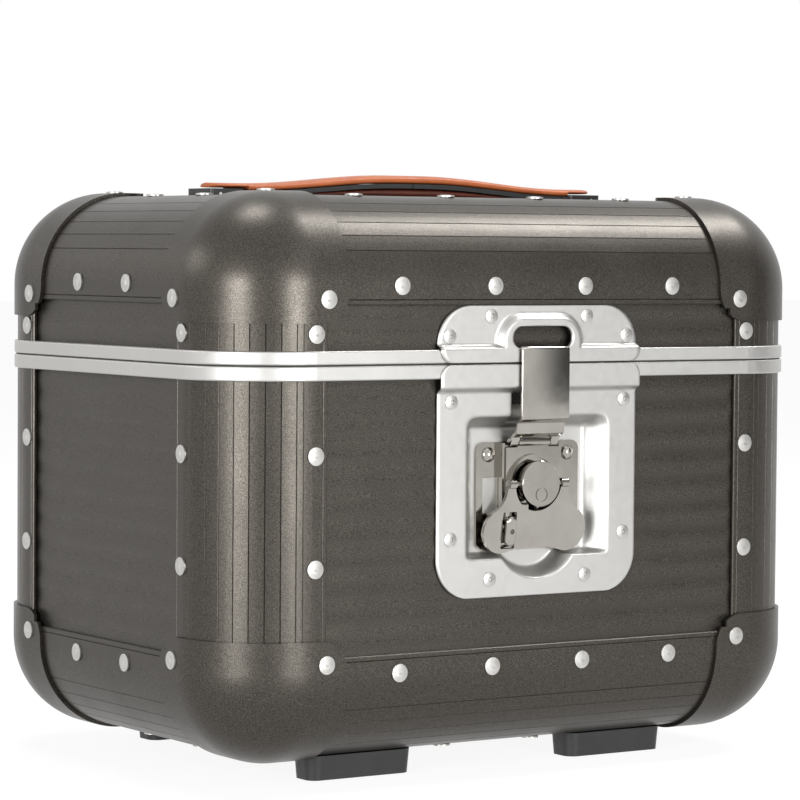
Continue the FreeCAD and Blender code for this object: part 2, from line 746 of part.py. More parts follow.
def long_rails(lid):
    z = TOP_Z if lid else BOTTOM_Z
    inward = -Z_AXIS if lid else Z_AXIS
    grooves = even_grooves(RAIL_GROOVES, RAIL_GROOVE_PITCH_DEG)
    front, rear = [edge_extrusion(Vector(-HALF_X, side * HALF_Y, z), inward, Y_AXIS * -side,
                                  X_AXIS, CASE_WIDTH, grooves) for side in (-1, 1)]
    return [front, rear] if lid else [front.cut(dish_notch()).Solids[0], rear]


def short_rails(lid):
    z = TOP_Z if lid else BOTTOM_Z
    inward = -Z_AXIS if lid else Z_AXIS
    grooves = even_grooves(RAIL_GROOVES, RAIL_GROOVE_PITCH_DEG)
    return [edge_extrusion(Vector(side * HALF_X, -HALF_Y, z), inward, X_AXIS * -side,
                           Y_AXIS, CASE_DEPTH, grooves) for side in (-1, 1)]


def posts(lid):
    """The four corner posts of one shell, from the rails to the frame."""
    z = TOP_Z if lid else BOTTOM_Z
    axis = -Z_AXIS if lid else Z_AXIS
    height = LID_HEIGHT - LID_FRAME_HEIGHT if lid else BASE_HEIGHT - BASE_FRAME_HEIGHT
    return [edge_extrusion(Vector(side_x * HALF_X, side_y * HALF_Y, z), X_AXIS * -side_x,
                           Y_AXIS * -side_y, axis, height, post_grooves(), both_ends=False)
            for side_x in (-1, 1) for side_y in (-1, 1)]


# ---- panels --------------------------------------------------------------------------------

def ribbed_panel(face, along_half, up_low, up_high, rib_middle):
    """A sheet with round ribs that run along the face, crests outwards."""
    quarter = RIB_PITCH / 4
    mid_depth = PANEL_DEPTH + RIB_HEIGHT / 2

    def at(up, depth):
        return face.point(-along_half, up, depth)

    def wave(offset):
        """Arcs from up_low to up_high, each between two points at mid height."""
        first = math.floor((up_low - rib_middle) / (2 * quarter)) - 1
        last = math.ceil((up_high - rib_middle) / (2 * quarter)) + 1
        arcs = []
        for index in range(first, last):
            centre = rib_middle + index * 2 * quarter
            swing = RIB_HEIGHT / 2 * (-1 if index % 2 == 0 else 1)
            middle_depth = mid_depth + offset
            arcs.append(arc(at(centre - quarter, middle_depth), at(centre, middle_depth + swing),
                            at(centre + quarter, middle_depth)))
        return arcs

    outside = wave(0.0)
    inside = wave(PANEL_THICKNESS)
    ends = [line(outside[0].Vertexes[0].Point, inside[0].Vertexes[0].Point),
            line(outside[-1].Vertexes[-1].Point, inside[-1].Vertexes[-1].Point)]
    sheet = face_of(outside + inside + ends).extrude(face.along * (2 * along_half))
    corners = [face.point(-along_half, up_low, 0), face.point(along_half, up_high, HOLE_REACH)]
    spans = [sorted(pair) for pair in zip(corners[0], corners[1])]
    trim = block(*spans[0], *spans[1], *spans[2])
    return sheet.common(trim).Solids[0]


def wall_panel(face, lid):
    along_half = half_length(face) - PANEL_MARGIN
    if lid:
        return ribbed_panel(face, along_half, LID_FRAME_TOP, TOP_Z - PANEL_MARGIN, SEAM_Z)
    return ribbed_panel(face, along_half, BOTTOM_Z + PANEL_MARGIN, BASE_FRAME_BOTTOM, SEAM_Z)


def cover_panel(face):
    reach = HALF_Y - PANEL_MARGIN
    return ribbed_panel(face, HALF_X - PANEL_MARGIN, -reach, reach, RIB_PITCH / 2)


# ---- corner caps ---------------------------------------------------------------------------

def rounded_corner(offset):
    """The corner of the case, grown by offset: three faces, three round edges and a ball."""
    size = CAP_REACH_SIDE + CAP_OUTLINE_RADIUS
    solid = block(-offset, size, -offset, size, -offset, size)

    def at_corner(edge):
        return sum(abs(value + offset) < MATCH_TOLERANCE for value in edge_middle(edge)) == 2

    return round_edges(solid, EDGE_RADIUS + offset, at_corner)


def corner_cap():
    """A cap drawn at the corner where x, y and z all grow inwards."""
    shell = rounded_corner(CAP_GAP + CAP_THICKNESS).cut(rounded_corner(CAP_GAP))
    low = -CAP_GAP - CAP_THICKNESS - CUT_MARGIN
    reach = (CAP_REACH_SIDE, CAP_REACH_SIDE, CAP_REACH_UP)
    trim = block(low, reach[0], low, reach[1], low, reach[2])

    def far_edge(edge):
        middle = edge_middle(edge)
        return sum(abs(value - limit) < MATCH_TOLERANCE for value, limit in zip(middle, reach)) == 2

    cap = shell.common(round_edges(trim, CAP_OUTLINE_RADIUS, far_edge))
    start = CAP_OUTLINE_RADIUS * (1 - DIAGONAL) + CAP_NOTCH
    from_far = [limit - start for limit in reach]
    for flat in range(3):
        corner = list(from_far)
        corner[flat] = low
        far = [limit + CUT_MARGIN for limit in reach]
        far[flat] = EDGE_RADIUS / 2
        cap = cap.cut(block(corner[0], far[0], corner[1], far[1], corner[2], far[2]))
    return cap.Solids[0]


def caps(lid):
    """The four caps of one shell, each a mirror image of the drawn one."""
    drawn = corner_cap()
    z = TOP_Z if lid else BOTTOM_Z
    placed = []
    for side_x in (-1, 1):
        for side_y in (-1, 1):
            cap = drawn
            mirrors = ((X_AXIS, side_x > 0), (Y_AXIS, side_y > 0), (Z_AXIS, lid))
            for axis, wanted in mirrors:
                if wanted:
                    cap = cap.mirror(Vector(0, 0, 0), axis)
            placed.append(moved(cap, side_x * HALF_X, side_y * HALF_Y, z).Solids[0])
    return placed


# ---- frames and seal -----------------------------------------------------------------------

def seal_groove(z0, z1):
    inset = SEAL_INSET - FRAME_PROUD
    return case_ring(inset, inset + SEAL_WIDTH, z0, z1)


def shell_frame(lid):
    """A closed frame: a band over the shell's edge and a skirt behind the panels."""
    skirt_start = PANEL_BACK + HOLE_CLEARANCE
    skirt_end = skirt_start + FRAME_SKIRT_WALL
    if lid:
        band = case_ring(-FRAME_PROUD, FRAME_INNER_DEPTH, LID_FRAME_BOTTOM, LID_FRAME_TOP,
                         FRAME_EDGE_RADIUS)
        skirt = case_ring(skirt_start, skirt_end, LID_FRAME_TOP - JOIN_LAP,
                          LID_FRAME_TOP + FRAME_SKIRT)
        return band.fuse(skirt).removeSplitter().Solids[0]
    band = case_ring(-FRAME_PROUD, FRAME_INNER_DEPTH, BASE_FRAME_BOTTOM, BASE_FRAME_TOP,
                     FRAME_EDGE_RADIUS)
    skirt = case_ring(skirt_start, skirt_end, BASE_FRAME_BOTTOM - FRAME_SKIRT,
                      BASE_FRAME_BOTTOM + JOIN_LAP)
    frame = band.fuse(skirt).removeSplitter()
    return frame.cut(seal_groove(BASE_FRAME_TOP - SEAL_DEPTH, SEAM_Z)).Solids[0]


def frame_seal():
    return seal_groove(BASE_FRAME_TOP - SEAL_DEPTH, LID_FRAME_BOTTOM - SEAL_CLEARANCE)


# ---- keeper plate and dish plate -----------------------------------------------------------

def stepped_plate(face, middle, half_width, near, height, step, upwards):
    """A plate that laps the frame at the seam and steps down onto the panel beyond it."""
    start, run = step
    side = 1 if upwards else -1
    raised = -STEP_PROUD - PLATE_SKIN
    back = PLATE_FACE_DEPTH + PLATE_SKIN
    profile = [(near, raised), (start, raised), (start + run, PLATE_FACE_DEPTH),
               (height, PLATE_FACE_DEPTH), (height, back), (start + run - STEP_LAP, back),
               (start - STEP_LAP, -STEP_PROUD), (near, -STEP_PROUD)]
    points = [face.point(middle - half_width, SEAM_Z + side * z, depth) for z, depth in profile]
    plate = polygon_face(points).extrude(face.along * (2 * half_width))

    def crease(edge):
        distance = abs(edge_middle(edge).z - SEAM_Z)
        at_end = min(abs(distance - near), abs(distance - height)) < MATCH_TOLERANCE
        return runs_along(edge, face.along) and not at_end

    return round_edges(plate, CREASE_RADIUS, crease)


def plate_outline(low, high, low_radius, high_radius, grow=0.0):
    """The prism of a front plate's outline, through its whole depth, grown at the sides."""
    half = PLATE_WIDTH / 2 + grow
    radii = [low_radius, high_radius, high_radius, low_radius]
    face = rounded_face(on_front(-HOLE_REACH), (-half, low), (half, high), radii)
    return face.extrude(Y_AXIS * (2 * HOLE_REACH))


def tapered(outline, grow_at, depth0, depth1):
    """A solid between two offsets of one outline, at two depths of the latch face."""
    wires = [Part.Wire(Part.__sortEdges__(outline(on_front(depth), grow_at(depth))))
             for depth in (depth0, depth1)]
    return Part.makeLoft(wires, True, True)


def pad_edges(place, inset):
    """The arch that is raised round the keeper's slot, drawn in by inset."""
    half = KEEPER_PAD_HALF_BASE - inset
    low = -2 * KEEPER_PAD_RADIUS
    return rounded_edges_of(place, (-half, low), (half, KEEPER_PAD_TOP - inset),
                            [KEEPER_PAD_RADIUS - inset] * 4)


def keeper_pad(skin):
    raised = -STEP_PROUD - PLATE_SKIN
    slope = KEEPER_PAD_SLOPE / (PLATE_FACE_DEPTH - raised)
    return tapered(pad_edges, lambda depth: slope * (PLATE_FACE_DEPTH - depth) + skin,
                   PLATE_FACE_DEPTH + skin, raised + skin)


def lid_frame_room():
    """The space of the lid's frame behind the keeper, with its clearance."""
    return block(-HALF_X, HALF_X, -HALF_Y - STEP_PROUD, 0, SEAM_Z,
                 LID_FRAME_TOP + PLATE_TO_FRAME)


def keeper_plate():
    step = stepped_plate(FRONT, 0, PLATE_WIDTH / 2, PLATE_SEAM_CLEARANCE, KEEPER_HEIGHT,
                         KEEPER_STEP, True)
    above_seam = plate_outline(PLATE_SEAM_CLEARANCE, KEEPER_HEIGHT, PLATE_SEAM_CORNER_RADIUS,
                               PLATE_CORNER_RADIUS)
    plate = step.fuse(keeper_pad(0)).common(above_seam)
    plate = plate.cut(keeper_pad(PLATE_SKIN)).cut(lid_frame_room())
    half_length_of_slot = KEEPER_SLOT_LENGTH / 2
    low = KEEPER_SLOT_CENTRE - KEEPER_SLOT_HEIGHT / 2
    slot = rounded_face(on_front(-HOLE_REACH), (-half_length_of_slot, low),
                        (half_length_of_slot, low + KEEPER_SLOT_HEIGHT),
                        [KEEPER_SLOT_HEIGHT / 2 - EDGE_TRIM] * 4)
    plate = plate.cut(slot.extrude(Y_AXIS * (2 * HOLE_REACH)))
    return drill(plate, shell_holes(True))


def pocket_edges(place, inset):
    """The dished recess: a rounded rectangle with a round finger bulge below, drawn in."""
    half = POCKET_HALF_WIDTH - inset
    top = -POCKET_TOP_BELOW_SEAM - inset
    bottom = -POCKET_BOTTOM_BELOW_SEAM + inset
    top_radius = POCKET_TOP_RADIUS - inset
    low_radius = POCKET_BOTTOM_RADIUS - inset
    bulge = FINGER_BULGE_RADIUS - inset
    blend = FINGER_BLEND_RADIUS + inset
    bulge_z = -FINGER_BULGE_BELOW_SEAM
    blend_z = -POCKET_BOTTOM_BELOW_SEAM - FINGER_BLEND_RADIUS
    reach = FINGER_BULGE_RADIUS + FINGER_BLEND_RADIUS
    blend_x = math.sqrt(reach ** 2 - (bulge_z - blend_z) ** 2)
    lean = math.atan2(blend_x, bulge_z - blend_z)
    edges = [line(place(top_radius - half, top), place(half - top_radius, top))]
    tangents = []
    for side in (-1, 1):
        tangent = place(side * (blend_x - blend * math.sin(lean)),
                        blend_z + blend * math.cos(lean))
        tangents.append(tangent)
        edges += [
            arc(place(side * (half - top_radius), top),
                place(side * (half - top_radius * (1 - DIAGONAL)),
                      top - top_radius * (1 - DIAGONAL)),
                place(side * half, top - top_radius)),
            line(place(side * half, top - top_radius), place(side * half, bottom + low_radius)),
            arc(place(side * half, bottom + low_radius),
                place(side * (half - low_radius * (1 - DIAGONAL)),
                      bottom + low_radius * (1 - DIAGONAL)),
                place(side * (half - low_radius), bottom)),
            line(place(side * (half - low_radius), bottom), place(side * blend_x, bottom)),
            arc(place(side * blend_x, bottom),
                place(side * (blend_x - blend * math.sin(lean / 2)),
                      blend_z + blend * math.cos(lean / 2)), tangent)]
    edges.append(arc(tangents[0], place(0, bulge_z - bulge), tangents[1]))
    return edges


def pocket(skin, depth0, depth1):
    slope = POCKET_WALL_RUN / (POCKET_DEPTH - PLATE_FACE_DEPTH)
    return tapered(pocket_edges, lambda depth: slope * (depth - PLATE_FACE_DEPTH) - skin,
                   depth0, depth1)


def dish_plate():
    step = stepped_plate(FRONT, 0, PLATE_WIDTH / 2, PLATE_SEAM_CLEARANCE, DISH_HEIGHT,
                         DISH_STEP, False)
    outline = plate_outline(-DISH_HEIGHT, -PLATE_SEAM_CLEARANCE, PLATE_CORNER_RADIUS,
                            PLATE_SEAM_CORNER_RADIUS)
    pan = pocket(PLATE_SKIN, PLATE_FACE_DEPTH + PLATE_SKIN / 2, POCKET_DEPTH + PLATE_SKIN)
    plate = step.common(outline).fuse(pan)
    plate = plate.cut(pocket(0, PLATE_FACE_DEPTH - PLATE_SKIN, POCKET_DEPTH))
    for place in latch_rivet_places():
        start = place[0].point(place[1], place[2], POCKET_DEPTH + HOLE_REACH)
        plate = plate.cut(cylinder(place[0].normal, start, RIVET_SHANK_RADIUS + HOLE_CLEARANCE,
                                   2 * HOLE_REACH))
    plate = plate.cut(hasp_relief())
    return drill(plate, shell_holes(False))


def pocket_opening():
    """The hole that the dish plate's pocket needs in the front panel."""
    face = face_of(pocket_edges(on_front(0), -PLATE_SKIN - POCKET_CUTOUT_GAP))
    return face.extrude(Y_AXIS * HOLE_REACH)


# ---- latch -----------------------------------------------------------------------------------

def latch_block(x0, x1, depth0, depth1, z0, z1):
    """A block placed from the rotor's axis and the front flange plane."""
    return block(x0, x1, depth0 - HALF_Y, depth1 - HALF_Y, ROTOR_Z + z0, ROTOR_Z + z1)


def latch_rod(x, z, radius, depth0, depth1):
    """A round bar square to the latch face."""
    return cylinder(Y_AXIS, Vector(x, depth0 - HALF_Y, ROTOR_Z + z), radius, depth1 - depth0)


def latch_base_plate():
    low = -ROTOR_BELOW_SEAM - LATCH_PLATE_BOTTOM
    high = LATCH_PLATE_TOP - ROTOR_BELOW_SEAM
    half = LATCH_PLATE_HALF_WIDTH
    face = rounded_face(on_front(LATCH_PLATE_FACE), (-half, low), (half, high),
                        [LATCH_PLATE_RADIUS] * 4)
    plate = face.extrude(Y_AXIS * LATCH_PLATE_THICKNESS)
    guide_start = CARRIAGE_HALF_WIDTH + SLIDE_CLEARANCE
    for side in (-1, 1):
        inner, outer = sorted((side * guide_start, side * (guide_start + GUIDE_WALL)))
        plate = plate.fuse(latch_block(inner, outer, LATCH_PLATE_FACE - GUIDE_HEIGHT,
                                       LATCH_PLATE_FACE + PLATE_TO_FRAME, -GUIDE_BOTTOM,
                                       GUIDE_TOP))
    x0, x1, z0, z1 = STRIKE_WINDOW
    through = (LATCH_PLATE_FACE - CUT_MARGIN,
               LATCH_PLATE_FACE + LATCH_PLATE_THICKNESS + CUT_MARGIN)
    plate = plate.cut(latch_block(x0, x1, *through, z0, z1))
    plate = plate.cut(latch_rod(0, 0, SHAFT_RADIUS + RUNNING_CLEARANCE, *through))
    for place in latch_rivet_places():
        plate = plate.cut(latch_rod(place[1], place[2] - ROTOR_Z,
                                    RIVET_SHANK_RADIUS + HOLE_CLEARANCE, *through))
    return plate.removeSplitter().Solids[0]


def latch_plate_rivets():
    rivet = dome_rivet(LATCH_PLATE_FACE, LATCH_RIVET_RADIUS, LATCH_RIVET_RIM,
                       LATCH_RIVET_HEIGHT, LATCH_TAIL_DEPTH)
    return [placed_on(face, rivet, along, up, LATCH_PLATE_FACE)
            for face, along, up in latch_rivet_places()]


def hasp_relief():
    """The notch in the panel and the pocket's top wall that the lifted strap rises through.

    It takes the whole of the wall's slope, down to the pocket's floor."""
    half = HASP_HALF_WIDTH + HASP_RELIEF_CLEARANCE
    back = HASP_HINGE_DEPTH + HASP_THICKNESS / 2 + HASP_RELIEF_CLEARANCE
    top = HASP_STEP_HIGH + HASP_STEP_LAP + WING_LIFT + HASP_RELIEF_CLEARANCE
    wall_foot = ROTOR_BELOW_SEAM - POCKET_TOP_BELOW_SEAM - POCKET_WALL_RUN
    notch = latch_block(-half, half, -HASP_PROUD, back, HASP_HINGE_ABOVE_ROTOR, top)
    return notch.fuse(latch_block(-half, half, 0, POCKET_DEPTH, wall_foot, top))


def hasp_hinge_centre():
    return Vector(0, HASP_HINGE_DEPTH - HALF_Y, ROTOR_Z + HASP_HINGE_ABOVE_ROTOR)


def latch_carriage():
    """The slide: a channel with a collar round the rotor and a knuckle for the hasp."""
    half = CARRIAGE_HALF_WIDTH
    face = CARRIAGE_FACE_DEPTH
    back = face + CARRIAGE_THICKNESS
    body = latch_block(-half, half, face, back, -CARRIAGE_BOTTOM, CARRIAGE_TOP)
    for side in (-1, 1):
        inner, outer = sorted((side * (half - CARRIAGE_THICKNESS), side * half))
        body = body.fuse(latch_block(inner, outer, face, LATCH_PLATE_FACE - SLIDE_CLEARANCE,
                                     -CARRIAGE_BOTTOM, CARRIAGE_TOP))
    collar = latch_rod(0, 0, COLLAR_RADIUS, face - COLLAR_HEIGHT, face + CARRIAGE_THICKNESS / 2)
    collar = collar.cut(latch_rod(0, 0, COLLAR_RADIUS - COLLAR_WALL,
                                  face - COLLAR_HEIGHT - CUT_MARGIN, back))
    collar_end = COLLAR_RADIUS * math.cos(math.radians(COLLAR_HALF_ANGLE))
    collar = collar.common(latch_block(-COLLAR_RADIUS, COLLAR_RADIUS, 0, back, collar_end,
                                       COLLAR_RADIUS))
    body = body.fuse(collar)
    knuckle_half = HASP_KNUCKLE_HALF
    body = body.fuse(latch_block(-knuckle_half, knuckle_half, face, back, 0,
                                 HASP_HINGE_ABOVE_ROTOR))
    body = body.fuse(pin_across(X_AXIS, hasp_hinge_centre(), HASP_KNUCKLE_RADIUS,
                                2 * knuckle_half))
    body = body.cut(pin_across(X_AXIS, hasp_hinge_centre(), HASP_PIN_RADIUS + RUNNING_CLEARANCE,
                               4 * knuckle_half))
    through = (face - CUT_MARGIN, back + CUT_MARGIN)
    pin_half_height = ECCENTRIC_PIN_RADIUS + ECCENTRIC_SLOT_PLAY
    pin_half_length = ECCENTRICITY + ECCENTRIC_PIN_RADIUS + AXIAL_CLEARANCE
    body = body.cut(latch_block(-pin_half_length, pin_half_length, *through,
                                -ECCENTRICITY - pin_half_height, pin_half_height - ECCENTRICITY))
    shaft_half = SHAFT_RADIUS + AXIAL_CLEARANCE
    body = body.cut(latch_block(-shaft_half, shaft_half, *through,
                                -WING_LIFT - shaft_half, shaft_half))
    return body.removeSplitter().Solids[0]


def hasp():
    """The strap: two knuckles, a double bend over the dish's lip, and a short return."""
    half_thick = HASP_THICKNESS / 2
    low_front = HASP_HINGE_DEPTH - half_thick
    low_back = HASP_HINGE_DEPTH + half_thick
    high_front = -HASP_PROUD
    high_back = HASP_THICKNESS - HASP_PROUD
    tip = -STEP_PROUD - PLATE_SKIN - HASP_RETURN_GAP
    profile = [(low_front, HASP_HINGE_ABOVE_ROTOR), (low_front, HASP_STEP_LOW - HASP_STEP_LAP),
               (high_front, HASP_STEP_HIGH - HASP_STEP_LAP), (high_front, HASP_TOP),
               (tip, HASP_TOP), (tip, HASP_TOP - HASP_THICKNESS),
               (high_back, HASP_TOP - HASP_THICKNESS),
               (high_back, HASP_STEP_HIGH + HASP_STEP_LAP),
               (low_back, HASP_STEP_LOW + HASP_STEP_LAP), (low_back, HASP_HINGE_ABOVE_ROTOR)]
    points = [Vector(-HASP_HALF_WIDTH, depth - HALF_Y, ROTOR_Z + z) for depth, z in profile]
    strap = polygon_face(points).extrude(X_AXIS * (2 * HASP_HALF_WIDTH))

    def bend(edge):
        height = edge_middle(edge).z - ROTOR_Z
        low = HASP_HINGE_ABOVE_ROTOR + HASP_BEND_FROM_HINGE
        return runs_along(edge, X_AXIS) and low < height < HASP_TOP - HASP_BEND_FROM_TOP

    strap = round_edges(strap, HASP_BEND_RADIUS, bend)
    knuckle = pin_across(X_AXIS, hasp_hinge_centre(), HASP_KNUCKLE_RADIUS, 2 * HASP_HALF_WIDTH)
    gap_half = HASP_KNUCKLE_HALF + AXIAL_CLEARANCE
    reach = HASP_KNUCKLE_RADIUS + AXIAL_CLEARANCE
    gap = latch_block(-gap_half, gap_half, HASP_HINGE_DEPTH - reach, HASP_HINGE_DEPTH + reach,
                      HASP_HINGE_ABOVE_ROTOR - reach, HASP_HINGE_ABOVE_ROTOR + reach)
    hole = pin_across(X_AXIS, hasp_hinge_centre(), HASP_PIN_RADIUS + RUNNING_CLEARANCE,
                      4 * HASP_HALF_WIDTH)
    return strap.fuse(knuckle).cut(gap).cut(hole).removeSplitter().Solids[0]


def hasp_pin():
    return pin_across(X_AXIS, hasp_hinge_centre(), HASP_PIN_RADIUS, 2 * HASP_HALF_WIDTH)


def fold_centre():
    return Vector(0, FOLD_AXIS_DEPTH - HALF_Y, ROTOR_Z)


def latch_rotor():
    """The turning disc with its barrel, its shaft and the eccentric pin that lifts.

    A fine ring groove in the disc's face goes round the pin's flush end."""
    disc_face = -DISC_PROUD
    barrel_front = disc_face + DISC_THICKNESS
    barrel_back = barrel_front + BARREL_THICKNESS
    shaft_end = LATCH_PLATE_FACE + LATCH_PLATE_THICKNESS - PLATE_TO_FRAME
    pin_end = CARRIAGE_FACE_DEPTH + CARRIAGE_THICKNESS + AXIAL_CLEARANCE
    body = latch_rod(0, 0, DISC_RADIUS, disc_face, barrel_front)
    body = body.makeChamfer(DISC_CHAMFER, [edge for edge in body.Edges
                                           if edge_middle(edge).y + HALF_Y < disc_face + FACE_TOLERANCE
                                           and edge.Curve.TypeId == "Part::GeomCircle"])
    body = body.fuse(latch_rod(0, 0, BARREL_RADIUS, barrel_front, barrel_back))
    body = body.fuse(latch_rod(0, 0, SHAFT_RADIUS, barrel_front, shaft_end))
    body = body.fuse(latch_rod(0, -ECCENTRICITY, ECCENTRIC_PIN_RADIUS, barrel_front, pin_end))
    groove = (disc_face - CUT_MARGIN, disc_face + ECCENTRIC_RING_DEPTH)
    ring = latch_rod(0, -ECCENTRICITY, ECCENTRIC_RING_RADIUS, *groove)
    body = body.cut(ring.cut(latch_rod(0, -ECCENTRICITY,
                                       ECCENTRIC_RING_RADIUS - ECCENTRIC_RING_WIDTH, *groove)))
    hole = pin_across(X_AXIS, fold_centre(), FOLD_PIN_RADIUS + HOLE_CLEARANCE, 4 * BARREL_RADIUS)
    return body.cut(hole).removeSplitter().Solids[0]


def wing_pin():
    return pin_across(X_AXIS, fold_centre(), FOLD_PIN_RADIUS, 2 * HORN_OUTER)


def wing_place(x, z):
    """Places wing drawings on the back plane of its plate, before it is tilted."""
    return Vector(x, FOLD_AXIS_DEPTH - HALF_Y + WING_THICKNESS / 2, ROTOR_Z + z)


def tilted(shape):
    """Lean a part of the wing in at the bottom, about the fold axis."""
    return turned(shape, fold_centre(), X_AXIS, WING_TILT_DEG)


def wing():
    lobe_x, lobe_z = LOBE_CENTRE

    def on_lobe(side, degrees):
        angle = math.radians(degrees)
        return wing_place(side * (lobe_x + LOBE_RADIUS * math.cos(angle)),
                          -lobe_z + LOBE_RADIUS * math.sin(angle))

    edges = [arc(wing_place(-WING_CUTOUT_RADIUS, 0), wing_place(0, -WING_CUTOUT_RADIUS),
                 wing_place(WING_CUTOUT_RADIUS, 0)),
             arc(on_lobe(-1, LOBE_END_DEG), wing_place(0, -WING_BOTTOM_MIDDLE),
                 on_lobe(1, LOBE_END_DEG))]
    for side in (-1, 1):
        horn = wing_place(side * HORN_OUTER, 0)
        waist = wing_place(side * WAIST_START[0], -WAIST_START[1])
        edges += [line(wing_place(side * WING_CUTOUT_RADIUS, 0), horn), line(horn, waist),
                  arc(waist, wing_place(side * WAIST_BEND[0], -WAIST_BEND[1]),
                      on_lobe(side, LOBE_START_DEG)),
                  arc(on_lobe(side, LOBE_START_DEG), on_lobe(side, 0),
                      on_lobe(side, LOBE_END_DEG))]
    plate = face_of(edges).extrude(-Y_AXIS * WING_THICKNESS)
    lock_x, lock_z = LOCK_CENTRE
    half_w = LOCK_SLOT[0] / 2
    half_h = LOCK_SLOT[1] / 2
    slot = rounded_face(wing_place, (lock_x - half_w, -lock_z - half_h),
                        (lock_x + half_w, -lock_z + half_h), [LOCK_SLOT_RADIUS] * 4)
    plate = plate.cut(moved(slot.extrude(-Y_AXIS * (2 * WING_THICKNESS)), 0,
                            WING_THICKNESS / 2, 0))
    plate = tilted(plate)
    length = HORN_OUTER - WING_CUTOUT_RADIUS
    for side in (-1, 1):
        middle = fold_centre() + X_AXIS * (side * (HORN_OUTER - length / 2))
        plate = plate.fuse(pin_across(X_AXIS, middle, FOLD_KNUCKLE_RADIUS, length))
    hole = pin_across(X_AXIS, fold_centre(), FOLD_PIN_RADIUS + RUNNING_CLEARANCE, 4 * HORN_OUTER)
    return plate.cut(hole).removeSplitter().Solids[0]


def lock_rod(radius, out0, out1):
    """A round bar on the lock's axis; distances count outwards from the wing's middle."""
    lock_x, lock_z = LOCK_CENTRE
    start = Vector(lock_x, FOLD_AXIS_DEPTH - HALF_Y - out0, ROTOR_Z - lock_z)
    return cylinder(-Y_AXIS, start, radius, out1 - out0)


def lock_plug():
    """The oval thumb piece that stands on the wing, with its neck and its keyhole."""
    lock_x, lock_z = LOCK_CENTRE
    seat = WING_THICKNESS / 2 + LOCK_RUNNING_GAP
    half_w = LOCK_HEAD[0] / 2
    half_h = LOCK_HEAD[1] / 2
    face = rounded_face(wing_place, (lock_x - half_w, -lock_z - half_h),
                        (lock_x + half_w, -lock_z + half_h), [half_w - EDGE_TRIM] * 4)
    head = face.extrude(-Y_AXIS * LOCK_HEAD_HEIGHT)
    head = moved(head, 0, -WING_THICKNESS / 2 - seat, 0)
    head = round_edges(head, LOCK_HEAD_ROUND, lambda edge: abs(
        edge_middle(edge).y - (FOLD_AXIS_DEPTH - HALF_Y - seat - LOCK_HEAD_HEIGHT)) < MATCH_TOLERANCE)
    plug = head.fuse(lock_rod(LOCK_NECK_RADIUS, -seat, seat + LOCK_HEAD_HEIGHT / 2))
    top = seat + LOCK_HEAD_HEIGHT
    plug = plug.cut(lock_rod(KEYHOLE_RADIUS, top - KEYHOLE_DEPTH, top + CUT_MARGIN))
    return tilted(plug.removeSplitter()).Solids[0]


def lock_cam():
    """The cam on the inner end of the plug's neck."""
    lock_x, lock_z = LOCK_CENTRE
    start = FOLD_AXIS_DEPTH + WING_THICKNESS / 2 + LOCK_RUNNING_GAP
    cam = latch_block(lock_x - CAM_HALF_WIDTH, lock_x + CAM_HALF_WIDTH, start,
                      start + CAM_THICKNESS, -lock_z - CAM_LENGTH, -lock_z + CAM_HALF_WIDTH)
    return tilted(round_edges(cam, CAM_HALF_WIDTH / 2, lambda edge: runs_along(edge, Y_AXIS)))


# ---- rear hinges -----------------------------------------------------------------------------

def hinge_leaf(side, lid):
    """One leaf: outer knuckles on the base's leaf, the centre knuckle on the lid's."""
    middle = side * HINGE_CENTRE_X
    half = HINGE_WIDTH / 2
    near = HINGE_KNUCKLE_RADIUS + AXIAL_CLEARANCE
    leaf = stepped_plate(REAR, middle, half, near, HINGE_LEAF_HEIGHT, HINGE_STEP, lid)
    centre_half = HINGE_CENTRE_KNUCKLE / 2
    spans = [(-centre_half, centre_half)]
    if not lid:
        free = centre_half + AXIAL_CLEARANCE
        spans = [(-half, -free), (free, half)]
    neck_end = near + PLATE_SKIN / 2
    for start, end in spans:
        z0, z1 = (SEAM_Z, SEAM_Z + neck_end) if lid else (SEAM_Z - neck_end, SEAM_Z)
        neck = block(middle + start, middle + end, HALF_Y + STEP_PROUD,
                     HALF_Y + STEP_PROUD + PLATE_SKIN, z0, z1)
        knuckle = cylinder(X_AXIS, Vector(middle + start, HINGE_AXIS_Y, SEAM_Z),
                           HINGE_KNUCKLE_RADIUS, end - start)
        leaf = leaf.fuse(neck).fuse(knuckle)
    hole = pin_across(X_AXIS, Vector(middle, HINGE_AXIS_Y, SEAM_Z),
                      HINGE_PIN_RADIUS + RUNNING_CLEARANCE, 2 * HINGE_WIDTH)
    return drill(leaf.cut(hole).removeSplitter(), shell_holes(lid))


def hinge_pins():
    return [pin_across(X_AXIS, Vector(side * HINGE_CENTRE_X, HINGE_AXIS_Y, SEAM_Z),
                       HINGE_PIN_RADIUS, HINGE_WIDTH) for side in (-1, 1)]


# ---- feet ------------------------------------------------------------------------------------

def foot(x, y):
    half_x = FOOT_LENGTH / 2
    half_y = FOOT_WIDTH / 2
    wires = []
    for z, inset in ((0.0, FOOT_TAPER), (FOOT_HEIGHT, 0.0)):
        edges = rounded_edges_of(in_plan(z), (x - half_x + inset, y - half_y + inset),
                                 (x + half_x - inset, y + half_y - inset),
                                 [FOOT_CORNER_RADIUS - inset] * 4)
        wires.append(Part.Wire(Part.__sortEdges__(edges)))
    body = Part.makeLoft(wires, True, True)
    for offset in (-FOOT_SCREW_OFFSET, FOOT_SCREW_OFFSET):
        place = Vector(x + offset, y, 0)
        body = body.cut(cylinder(Z_AXIS, place, SCREW_SHANK_RADIUS + HOLE_CLEARANCE,
                                 FOOT_HEIGHT))
        body = body.cut(cylinder(Z_AXIS, place, SCREW_HEAD_RADIUS + COUNTERBORE_CLEARANCE,
                                 FOOT_SCREW_RECESS + SCREW_HEAD_HEIGHT))
    return body.Solids[0]


